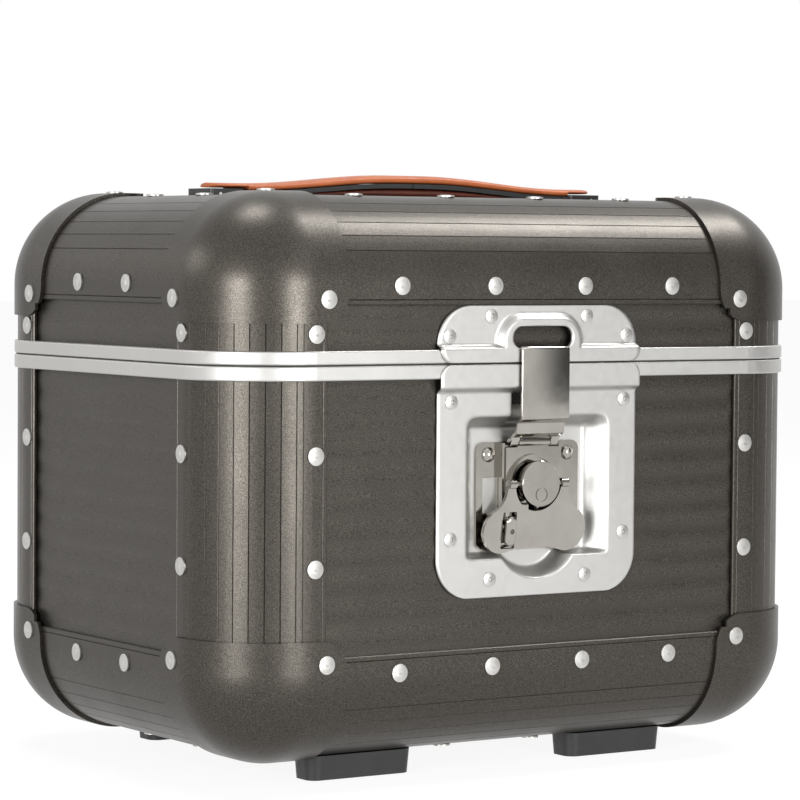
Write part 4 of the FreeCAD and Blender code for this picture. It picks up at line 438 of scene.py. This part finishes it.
def mesh_object(name, points, faces, material):
    """A smooth-shaded mesh with its faces turned outwards."""
    data = bpy.data.meshes.new(name)
    data.from_pydata(points, [], faces)
    data.materials.append(MATERIALS[material])
    data.polygons.foreach_set("use_smooth", [True] * len(data.polygons))
    piece = bpy.data.objects.new(name, data)
    bpy.context.scene.collection.objects.link(piece)
    work = bmesh.new()
    work.from_mesh(data)
    bmesh.ops.recalc_face_normals(work, faces=work.faces)
    work.to_mesh(data)
    work.free()
    return piece


def sharpen(piece):
    """Shade flat across sharp edges and smooth across gentle ones."""
    work = bmesh.new()
    work.from_mesh(piece.data)
    for edge in work.edges:
        edge.smooth = edge.calc_face_angle(0.0) < SHARP_ANGLE
    work.to_mesh(piece.data)
    work.free()


def loft(sections):
    """Points and faces of a closed body through sections of equally many points."""
    count = len(sections[0])
    points = [point for section in sections for point in section]
    faces = []
    for row in range(len(sections) - 1):
        for column in range(count):
            beside = (column + 1) % count
            faces.append((row * count + column, row * count + beside,
                          (row + 1) * count + beside, (row + 1) * count + column))
    faces.append(tuple(range(count))[::-1])
    faces.append(tuple(range(len(points) - count, len(points))))
    return points, faces


def smooth(value):
    """A soft step from 0 to 1."""
    value = min(max(value, 0.0), 1.0)
    return value * value * value * (value * (6.0 * value - 15.0) + 10.0)


def rolled_edge(distance, radius):
    """How far a rounded edge has fallen back at a distance inside the outline."""
    share = 1.0 - min(distance / radius, 1.0)
    return radius * (1.0 - math.sqrt(max(1.0 - share ** 2, 0.0)))


# ---- dish plate ------------------------------------------------------------------------------

def rounded_half_width(height):
    """The plate's half width at a distance below the seam, with its corner rounds."""
    from_top = height - DISH_TOP
    from_bottom = DISH_BOTTOM - height
    for distance, radius in ((from_top, DISH_TOP_RADIUS), (from_bottom, DISH_BOTTOM_RADIUS)):
        if distance < radius:
            run = radius - distance
            return DISH_HALF - radius + math.sqrt(max(radius ** 2 - run ** 2, 0.0))
    return DISH_HALF


def recess_share(x, height):
    """How far the pocket has sunk at a point: 0 on the plate, 1 on its floor."""
    tray = (smooth((POCKET_HALF - abs(x)) / SIDE_RUN) * smooth((height - POCKET_TOP) / TOP_RUN)
            * smooth((POCKET_BOTTOM - height) / BOTTOM_RUN))
    from_bulge = BULGE_RADIUS - math.hypot(x, height - BULGE_CENTRE)
    bulge = smooth(from_bulge / BULGE_RUN)
    return max(tray, bulge)


def dish_depth(x, height):
    """The front skin's depth: raised band, plate, pocket with its lip, hasp's channel."""
    face = RAISED_DEPTH + (PLATE_DEPTH - RAISED_DEPTH) * smooth(
        (height - STEP_START) / (STEP_END - STEP_START))
    share = recess_share(x, height)
    lip = LIP_HEIGHT * math.sin(math.pi * min(share / LIP_SHARE, 1.0))
    depth = face - lip + (FLOOR_DEPTH - face) * share
    channel = (smooth((CHANNEL_HALF - abs(x)) / CHANNEL_RUN)
               * smooth((height - CHANNEL_TOP) / CHANNEL_RUN))
    if height > POCKET_BOTTOM - TOP_RUN:
        return depth
    return max(depth, face + (CHANNEL_DEPTH - face) * channel)


def pressed_dish():
    """A pressed sheet: front and back skins over one grid, closed round the outline."""
    rows, columns = DISH_ROWS, DISH_COLUMNS
    front, back = [], []
    for row in range(rows + 1):
        # Rows crowd towards both ends, where the outline's corners are
        share = (1.0 - math.cos(math.pi * row / rows)) / 2.0
        height = DISH_TOP + (DISH_BOTTOM - DISH_TOP) * share
        half = rounded_half_width(height)
        from_end = min(height - DISH_TOP, DISH_BOTTOM - height)
        for column in range(columns + 1):
            x = half * (2.0 * column / columns - 1.0)
            depth = dish_depth(x, height)
            rolled = rolled_edge(min(from_end, half - abs(x)), DISH_EDGE_ROUND)
            front.append(Vector((x, FACE_Y + depth + rolled, SEAM_Z - height)))
            back.append(Vector((x, FACE_Y + depth + DISH_SKIN, SEAM_Z - height)))
    width = columns + 1
    offset = len(front)
    faces = []
    for row in range(rows):
        for column in range(columns):
            a = row * width + column
            faces.append((a, a + 1, a + width + 1, a + width))
            faces.append((offset + a + width, offset + a + width + 1, offset + a + 1, offset + a))
    border = list(range(width)) + [row * width + columns for row in range(1, rows + 1)]
    border += [rows * width + column for column in range(columns - 1, -1, -1)]
    border += [row * width for row in range(rows - 1, 0, -1)]
    for first, second in zip(border, border[1:] + border[:1]):
        faces.append((first, offset + first, offset + second, second))
    piece = mesh_object("pressed_dish", front + back, faces, "satin_plate")
    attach(piece, "base")
    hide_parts("dish_plate")


# ---- keeper plate ----------------------------------------------------------------------------

def keeper_outline():
    """Evenly spread points on the keeper's outline: x, and height above the seam."""
    low, high, half = KEEPER_BOTTOM, KEEPER_TOP, KEEPER_HALF
    small, large = DISH_TOP_RADIUS, DISH_BOTTOM_RADIUS
    points = []

    def straight(start, end):
        count = max(int(math.dist(start, end) / KEEPER_SPACING), 1)
        for index in range(count):
            share = index / count
            points.append((start[0] + (end[0] - start[0]) * share,
                           start[1] + (end[1] - start[1]) * share))

    def corner(centre, radius, first_deg):
        count = int(radius * math.pi / 2.0 / KEEPER_SPACING)
        for index in range(count):
            angle = math.radians(first_deg + 90.0 * index / count)
            points.append((centre[0] + radius * math.cos(angle),
                           centre[1] + radius * math.sin(angle)))

    straight((small - half, low), (half - small, low))
    corner((half - small, low + small), small, -90.0)
    straight((half, low + small), (half, high - large))
    corner((half - large, high - large), large, 0.0)
    straight((half - large, high), (large - half, high))
    corner((large - half, high - large), large, 90.0)
    straight((-half, high - large), (-half, low + small))
    corner((small - half, low + small), small, 180.0)
    return points


def slot_reach(direction):
    """How far the slot's outline is from its centre in a direction."""
    straight_half = SLOT_HALF - SLOT_RADIUS
    across, up = abs(direction[0]), abs(direction[1])
    if up > 0.0 and SLOT_RADIUS * across / up <= straight_half:
        return SLOT_RADIUS / up
    along = across * straight_half
    return along + math.sqrt(max(along ** 2 - straight_half ** 2 + SLOT_RADIUS ** 2, 0.0))


def inside_pad(x, height):
    """How far a point lies inside the outline of the pad round the slot."""
    over_x = abs(x) - (PAD_HALF - PAD_RADIUS)
    over_z = height - (PAD_TOP - PAD_RADIUS)
    outside = math.hypot(max(over_x, 0.0), max(over_z, 0.0))
    return PAD_RADIUS - outside - min(max(over_x, over_z), 0.0)


def keeper_depth(x, height):
    """The front skin's depth: the raised band over the frame, and the pad round the slot."""
    band = 1.0 - smooth((height - KEEPER_STEP_START) / (KEEPER_STEP_END - KEEPER_STEP_START))
    pad = smooth(inside_pad(x, height) / PAD_RUN)
    return PLATE_DEPTH + (RAISED_DEPTH - PLATE_DEPTH) * max(band, pad)


def pressed_keeper():
    """A pressed sheet round the hasp's slot, from rings between the slot and the outline."""
    outline = keeper_outline()
    front, back = [], []
    for ring in range(KEEPER_RINGS + 1):
        # Rings crowd towards the slot, where the edge rolls in
        share = (ring / KEEPER_RINGS) ** KEEPER_CROWDING
        for x_out, z_out in outline:
            reach_out = math.hypot(x_out, z_out - SLOT_CENTRE)
            direction = (x_out / reach_out, (z_out - SLOT_CENTRE) / reach_out)
            start = slot_reach(direction)
            reach = start + (reach_out - start) * share
            x = direction[0] * reach
            height = SLOT_CENTRE + direction[1] * reach
            depth = keeper_depth(x, height)
            rolled = (rolled_edge(reach - start, SLOT_ROLL)
                      + rolled_edge(reach_out - reach, DISH_EDGE_ROUND))
            skin_back = max(depth + DISH_SKIN, depth + rolled + THINNEST_SHEET)
            front.append(Vector((x, FACE_Y + depth + rolled, SEAM_Z + height)))
            back.append(Vector((x, FACE_Y + skin_back, SEAM_Z + height)))
    count = len(outline)
    offset = len(front)
    faces = []
    for ring in range(KEEPER_RINGS):
        for index in range(count):
            a, b = ring * count + index, ring * count + (index + 1) % count
            faces.append((a, b, b + count, a + count))
            faces.append((offset + a + count, offset + b + count, offset + b, offset + a))
    for ring in (0, KEEPER_RINGS):
        for index in range(count):
            a, b = ring * count + index, ring * count + (index + 1) % count
            faces.append((a, b, offset + b, offset + a))
    piece = mesh_object("pressed_keeper", front + back, faces, "satin_plate")
    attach(piece, "lid")
    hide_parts("keeper_plate")


# ---- hasp ------------------------------------------------------------------------------------

def rounded_path(corners, radius):
    """A line through corners in a plane, with arcs of one radius at the inner corners."""
    path = [corners[0]]
    for before, here, after in zip(corners, corners[1:], corners[2:]):
        to_before = (before - here).normalized()
        to_after = (after - here).normalized()
        half_turn = to_before.angle(to_after) / 2.0
        reach = radius / math.tan(half_turn)
        start, end = here + to_before * reach, here + to_after * reach
        centre = here + (to_before + to_after).normalized() * (radius / math.sin(half_turn))
        for index in range(BEND_STEPS + 1):
            share = index / BEND_STEPS
            towards = (start - centre).slerp(end - centre, share).normalized()
            path.append(centre + towards * radius)
    path.append(corners[-1])
    return path


def strap_sections(path, half_width, thickness, corner):
    """Rectangular sections with round corners, square to a path of (depth, height) points."""
    sections = []
    for index, point in enumerate(path):
        before = path[max(index - 1, 0)]
        after = path[min(index + 1, len(path) - 1)]
        along = (after - before).normalized()
        across = Vector((-along.y, along.x))
        ring = []
        for side_x, side_t in ((1, 1), (-1, 1), (-1, -1), (1, -1)):
            for step in range(STRAP_CORNER_STEPS + 1):
                share = step / STRAP_CORNER_STEPS
                angle = math.pi / 2.0 * (share if side_x == side_t else 1.0 - share)
                x = side_x * (half_width - corner + corner * math.cos(angle))
                t = side_t * (thickness / 2.0 - corner + corner * math.sin(angle))
                ring.append((x, t))
        sections.append([Vector((x, FACE_Y + point.x + across.x * t,
                                 ROTOR_Z + point.y + across.y * t)) for x, t in ring])
    return sections


def knuckle(x0, x1):
    """A rolled eye with a hole for the pin, and small rounds at its ends."""
    profile = [(x0 + KNUCKLE_ROUND, KNUCKLE_RADIUS), (x1 - KNUCKLE_ROUND, KNUCKLE_RADIUS),
               (x1, KNUCKLE_RADIUS - KNUCKLE_ROUND), (x1, KNUCKLE_BORE), (x0, KNUCKLE_BORE),
               (x0, KNUCKLE_RADIUS - KNUCKLE_ROUND)]
    points, faces = [], []
    for x, radius in profile:
        for spoke in range(KNUCKLE_SPOKES):
            angle = 2.0 * math.pi * spoke / KNUCKLE_SPOKES
            points.append(Vector((x, FACE_Y + KNUCKLE_DEPTH + radius * math.cos(angle),
                                  ROTOR_Z + KNUCKLE_HEIGHT + radius * math.sin(angle))))
    for ring in range(len(profile)):
        beyond = (ring + 1) % len(profile)
        for spoke in range(KNUCKLE_SPOKES):
            beside = (spoke + 1) % KNUCKLE_SPOKES
            faces.append((ring * KNUCKLE_SPOKES + spoke, ring * KNUCKLE_SPOKES + beside,
                          beyond * KNUCKLE_SPOKES + beside, beyond * KNUCKLE_SPOKES + spoke))
    return points, faces


def bent_hasp():
    """The strap: a short return, a long flat, two small steps and two rolled knuckles."""
    corners = [Vector((depth * MM, height * MM)) for depth, height in HASP_CORNERS_MM]
    bodies = [loft(strap_sections(rounded_path(corners, HASP_BEND), HASP_HALF, HASP_SHEET,
                                  HASP_EDGE))]
    for side in (-1, 1):
        x0, x1 = sorted((side * KNUCKLE_START, side * HASP_HALF))
        bodies.append(knuckle(x0, x1))
        tab = [Vector(corners[-1]), Vector((KNUCKLE_DEPTH - KNUCKLE_RADIUS + HASP_SHEET / 2.0,
                                            KNUCKLE_HEIGHT))]
        sections = strap_sections(tab, (x1 - x0) / 2.0, HASP_SHEET, HASP_EDGE)
        middle = Vector(((x0 + x1) / 2.0, 0.0, 0.0))
        bodies.append(loft([[point + middle for point in ring] for ring in sections]))
    points, faces = [], []
    for body_points, body_faces in bodies:
        start = len(points)
        points += body_points
        faces += [tuple(start + index for index in face) for face in body_faces]
    piece = mesh_object("bent_hasp", points, faces, "latch_chrome")
    sharpen(piece)
    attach(piece, "latch_hasp")
    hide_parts("hasp")


# ---- leather handle --------------------------------------------------------------------------

def handle_rise(x):
    """0 where the strap lies low at its ends, 1 at its raised middle."""
    share = min(max((RISE_START - abs(x)) / (RISE_START - RISE_END), 0.0), 1.0)
    return (1.0 - math.cos(math.pi * share)) / 2.0


def core_bottom(x):
    return CORE_END_BOTTOM + (CORE_MIDDLE_BOTTOM - CORE_END_BOTTOM) * handle_rise(x)


def grip_bottom(x):
    bottom = core_bottom(x) + CORE_THICKNESS + LEATHER_GAP
    over_anchor = GRIP_END_BOTTOM + LEATHER_GAP
    return max(bottom, over_anchor) if abs(x) > RISE_START else bottom


def grip_top(x):
    return GRIP_END_HEIGHT + (GRIP_MIDDLE_HEIGHT - GRIP_END_HEIGHT) * handle_rise(x)


def grip_half_width(x):
    """The leather's half width, with quarter-round corners at its ends."""
    from_end = GRIP_HALF - abs(x)
    half = GRIP_WIDTH / 2.0
    if from_end >= GRIP_END_RADIUS:
        return half
    run = GRIP_END_RADIUS - from_end
    return half - GRIP_END_RADIUS + math.sqrt(max(GRIP_END_RADIUS ** 2 - run ** 2, 0.0))


GRIP_STATIONS = 150
SECTION_POINTS = 48
GRIP_CROWN = 0.7 * MM
# The smaller this exponent, the squarer a section's corners
GRIP_SQUARENESS = 0.42
PADDING_SQUARENESS = 0.6
# The outermost section stops just inside the grip's end, where its width would be nothing
GRIP_END_SHARE = 0.9995
PADDING_THINNEST = 0.15 * MM
PADDING_END_WIDTH = 0.9


def padded_section(x, half, low, high, crown, squareness):
    """A ring of points round a strap's section: soft edges and a crowned top."""
    ring = []
    middle = (low + high) / 2.0
    tall = (high - low) / 2.0
    for index in range(SECTION_POINTS):
        angle = 2.0 * math.pi * index / SECTION_POINTS
        c, s = math.cos(angle), math.sin(angle)
        y = half * math.copysign(abs(c) ** squareness, c)
        z = middle + tall * math.copysign(abs(s) ** squareness, s)
        if s > 0.0:
            z -= crown * (y / half) ** 2
        ring.append(Vector((x, y, TOP_Z + z)))
    return ring


def leather_grip():
    """The strap over the core, from one round end to the other."""
    sections = []
    for index in range(GRIP_STATIONS + 1):
        # Stations crowd towards the round ends
        x = -GRIP_HALF * math.cos(math.pi * index / GRIP_STATIONS) * GRIP_END_SHARE
        sections.append(padded_section(x, grip_half_width(x), grip_bottom(x), grip_top(x),
                                       GRIP_CROWN, GRIP_SQUARENESS))
    return mesh_object("leather_grip", *loft(sections), "cognac_leather")


def leather_padding():
    """The padded underside between the core and the lid, in leather darkened as painted shade."""
    sections = []
    for index in range(GRIP_STATIONS + 1):
        x = -BELLY_END + 2.0 * BELLY_END * index / GRIP_STATIONS
        high = core_bottom(x) - LEATHER_GAP
        fade = min(max((BELLY_END - abs(x)) / (BELLY_END - BELLY_HALF), 0.0), 1.0)
        low = high - (high - BELLY_BOTTOM) * math.sin(fade * math.pi / 2.0)
        low = min(low, high - PADDING_THINNEST)
        half = BELLY_WIDTH / 2.0 * (PADDING_END_WIDTH + (1.0 - PADDING_END_WIDTH) * fade)
        sections.append(padded_section(x, half, low, high, 0.0, PADDING_SQUARENESS))
    return mesh_object("leather_padding", *loft(sections), "padding_leather")


STITCH_PITCH = 3.1 * MM
STITCH_LENGTH = 2.2 * MM
STITCH_RADIUS = 0.24 * MM
STITCH_ABOVE_EDGE = 1.1 * MM
STITCH_SUNK = 0.35
STITCH_SPOKES = 6
STITCH_RINGS = 5
# The part of a half sine that a stitch's thickness follows, and its thinnest share
STITCH_TAPER_START = 0.08
STITCH_TAPER_SPAN = 0.84
STITCH_THINNEST = 0.1


def grip_stitching():
    """Rows of raised stitches along both lower edges of the leather."""
    points, faces = [], []
    reach = GRIP_HALF - GRIP_END_RADIUS
    count = int(2.0 * reach / STITCH_PITCH)
    for side in (-1, 1):
        y = side * (GRIP_WIDTH / 2.0 - STITCH_SUNK * STITCH_RADIUS)
        for index in range(count):
            x0 = -reach + STITCH_PITCH * (index + 0.5)
            start = len(points)
            for step in range(STITCH_RINGS):
                share = step / (STITCH_RINGS - 1)
                x = x0 + STITCH_LENGTH * (share - 0.5)
                taper = math.sin(math.pi * (STITCH_TAPER_START + STITCH_TAPER_SPAN * share))
                radius = STITCH_RADIUS * max(taper, STITCH_THINNEST)
                z = TOP_Z + grip_bottom(x) + STITCH_ABOVE_EDGE
                for spoke in range(STITCH_SPOKES):
                    angle = 2.0 * math.pi * spoke / STITCH_SPOKES
                    points.append(Vector((x, y - side * radius + radius * math.cos(angle),
                                          z + radius * math.sin(angle))))
            for step in range(STITCH_RINGS - 1):
                low = start + step * STITCH_SPOKES
                for spoke in range(STITCH_SPOKES):
                    beside = (spoke + 1) % STITCH_SPOKES
                    faces.append((low + spoke, low + beside, low + STITCH_SPOKES + beside,
                                  low + STITCH_SPOKES + spoke))
            faces.append(tuple(start + spoke for spoke in range(STITCH_SPOKES))[::-1])
            last = start + (STITCH_RINGS - 1) * STITCH_SPOKES
            faces.append(tuple(last + spoke for spoke in range(STITCH_SPOKES)))
    return mesh_object("grip_stitching", points, faces, "stitch_thread")


def dress_handle():
    """Build the leather strap, its padding and its stitching, and hide the solids that they stand
    for.
    """
    grip = leather_grip()
    padding = leather_padding()
    stitching = grip_stitching()
    for piece in (grip, padding, stitching):
        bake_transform(piece)
    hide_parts("handle_grip_left", "handle_grip_right")


# ---- stage -----------------------------------------------------------------------------------

CASE_MIDDLE = Vector((0.0, 0.0, TOP_Z / 2.0))
FLOOR_HALF = 12.0
FLOOR_GREY = 0.9
FLOOR_ROUGHNESS = 0.85
# How much of the floor is plain white, and how white, for rays that see it
FLOOR_SEEN_WHITE = 0.86
FLOOR_WHITE = 1.06
DIFFUSE_LIGHT = 0.3
STUDIO_TINT = (1.0, 0.99, 0.97, 1.0)
WHITE = (1.0, 1.0, 1.0, 1.0)

# Place, width and height, watts
LAMPS = {
    "strip_left": ((-1.96, -1.0, 0.31), (0.75, 0.62), 29.0),
    "strip_right": ((0.08, -2.19, 0.31), (0.55, 0.62), 27.0),
    "over_left": ((-0.15, 0.42, 2.2), (0.5, 0.6), 15.0),
    "over_right": ((1.2, -0.15, 1.85), (0.45, 0.6), 24.0),
    "front_soft": ((1.25, -1.9, 1.6), (1.0, 0.5), 11.0),
    "side_soft": ((-2.0, 1.35, 1.2), (1.2, 0.6), 9.0),
}
CARD_PLACE = (1.75, -1.55, 0.9)
CARD_HALF_X = 1.2
CARD_HALF_Y = 1.0
CARD_DARK = 0.12


def unlit_mix(tree, lit, white, share):
    """Mix lit with white by share, for rays from the camera and in metal and glass."""
    rays = tree.nodes.new("ShaderNodeLightPath")
    seen = None
    for name in ("Is Camera Ray", "Is Glossy Ray", "Is Transmission Ray"):
        if seen is None:
            seen = rays.outputs[name]
            continue
        either = tree.nodes.new("ShaderNodeMath")
        either.operation = "MAXIMUM"
        tree.links.new(seen, either.inputs[0])
        tree.links.new(rays.outputs[name], either.inputs[1])
        seen = either.outputs[0]
    part = tree.nodes.new("ShaderNodeMath")
    part.operation = "MULTIPLY"
    part.inputs[1].default_value = share
    tree.links.new(seen, part.inputs[0])
    mix = tree.nodes.new("ShaderNodeMixShader")
    tree.links.new(part.outputs[0], mix.inputs["Fac"])
    tree.links.new(lit.outputs[0], mix.inputs[1])
    tree.links.new(white.outputs[0], mix.inputs[2])
    return mix.outputs[0]


def turn_to_case(thing, place):
    """Put a lamp or a card at a place, facing the middle of the case."""
    thing.location = place
    thing.rotation_euler = (CASE_MIDDLE - Vector(place)).to_track_quat("-Z", "Y").to_euler()


def flat_sheet(name, half_x, half_y, material):
    """A staged rectangle about its own origin."""
    data = bpy.data.meshes.new(name)
    data.from_pydata([(-half_x, -half_y, 0), (half_x, -half_y, 0), (half_x, half_y, 0),
                      (-half_x, half_y, 0)], [], [(0, 1, 2, 3)])
    data.materials.append(material)
    sheet = bpy.data.objects.new(name, data)
    bpy.context.scene.collection.objects.link(sheet)
    return sheet


def floor():
    """A pale floor that keeps the case's shadow and runs out into the white background."""
    material = bpy.data.materials.new("floor")
    material.use_nodes = True
    tree = material.node_tree
    lit = tree.nodes["Principled BSDF"]
    lit.inputs["Base Color"].default_value = (FLOOR_GREY, FLOOR_GREY, FLOOR_GREY, 1.0)
    lit.inputs["Roughness"].default_value = FLOOR_ROUGHNESS
    white = tree.nodes.new("ShaderNodeEmission")
    white.inputs["Color"].default_value = WHITE
    white.inputs["Strength"].default_value = FLOOR_WHITE
    tree.links.new(unlit_mix(tree, lit, white, FLOOR_SEEN_WHITE),
                   tree.nodes["Material Output"].inputs["Surface"])
    flat_sheet("floor", FLOOR_HALF, FLOOR_HALF, material)


def world():
    """An even studio light that the camera, metal and glass see as white."""
    sky = bpy.data.worlds.new("studio")
    bpy.context.scene.world = sky
    sky.use_nodes = True
    tree = sky.node_tree
    light = tree.nodes["Background"]
    light.inputs["Color"].default_value = STUDIO_TINT
    light.inputs["Strength"].default_value = DIFFUSE_LIGHT
    white = tree.nodes.new("ShaderNodeBackground")
    white.inputs["Color"].default_value = WHITE
    tree.links.new(unlit_mix(tree, light, white, 1.0),
                   tree.nodes["World Output"].inputs["Surface"])


def area_light(name, place, size, power):
    data = bpy.data.lights.new(name, "AREA")
    data.shape = "RECTANGLE"
    data.size, data.size_y = size
    data.energy = power
    lamp = bpy.data.objects.new(name, data)
    turn_to_case(lamp, place)
    lamp.visible_camera = False
    bpy.context.scene.collection.objects.link(lamp)


def dark_card():
    """A card that fades from white to dark, seen only in the metal and the gloss."""
    material = bpy.data.materials.new("card_right")
    material.use_nodes = True
    tree = material.node_tree
    place_on_card = tree.nodes.new("ShaderNodeTexCoord")
    split = tree.nodes.new("ShaderNodeSeparateXYZ")
    fade = tree.nodes.new("ShaderNodeMapRange")
    fade.interpolation_type = "SMOOTHSTEP"
    for socket, value in zip(("From Min", "From Max", "To Min", "To Max"),
                             (-CARD_HALF_X, 0.0, 1.0, CARD_DARK)):
        fade.inputs[socket].default_value = value
    glow = tree.nodes.new("ShaderNodeEmission")
    tree.links.new(place_on_card.outputs["Object"], split.inputs[0])
    tree.links.new(split.outputs["X"], fade.inputs["Value"])
    tree.links.new(fade.outputs[0], glow.inputs["Strength"])
    tree.links.new(glow.outputs[0], tree.nodes["Material Output"].inputs["Surface"])
    card = flat_sheet("card_right", CARD_HALF_X, CARD_HALF_Y, material)
    turn_to_case(card, CARD_PLACE)
    card.visible_camera = False
    card.visible_diffuse = False
    card.visible_transmission = False
    card.visible_shadow = False


def lights():
    """Upright strip lamps beside the camera and soft boxes higher up."""
    for name, (place, size, power) in LAMPS.items():
        area_light(name, place, size, power)


def camera():
    """The photograph's view of the case."""
    azimuth = math.radians(CAMERA_AZIMUTH)
    elevation = math.radians(CAMERA_ELEVATION)
    roll = math.radians(CAMERA_ROLL)
    back = Vector((math.sin(azimuth) * math.cos(elevation),
                   -math.cos(azimuth) * math.cos(elevation), math.sin(elevation)))
    level = Vector((math.cos(azimuth), math.sin(azimuth), 0.0))
    upright = back.cross(level)
    right = level * math.cos(roll) + upright * math.sin(roll)
    up = upright * math.cos(roll) - level * math.sin(roll)
    place = back * CAMERA_DISTANCE + level * CAMERA_SIDE + Vector((0.0, 0.0, CAMERA_HEIGHT))
    data = bpy.data.cameras.new("camera")
    data.sensor_width = SENSOR_WIDTH
    data.lens = CAMERA_FOCAL_SHARE * SENSOR_WIDTH
    eye = bpy.data.objects.new("camera", data)
    eye.matrix_world = Matrix.Translation(place) @ Matrix((right, up, back)).transposed().to_4x4()
    bpy.context.scene.collection.objects.link(eye)
    bpy.context.scene.camera = eye


# ---- scene -----------------------------------------------------------------------------------

paint_frame()
soften_edges()
pressed_dish()
pressed_keeper()
bent_hasp()
dress_handle()
floor()
world()
lights()
dark_card()
camera()
bpy.context.scene.view_settings.view_transform = "Standard"
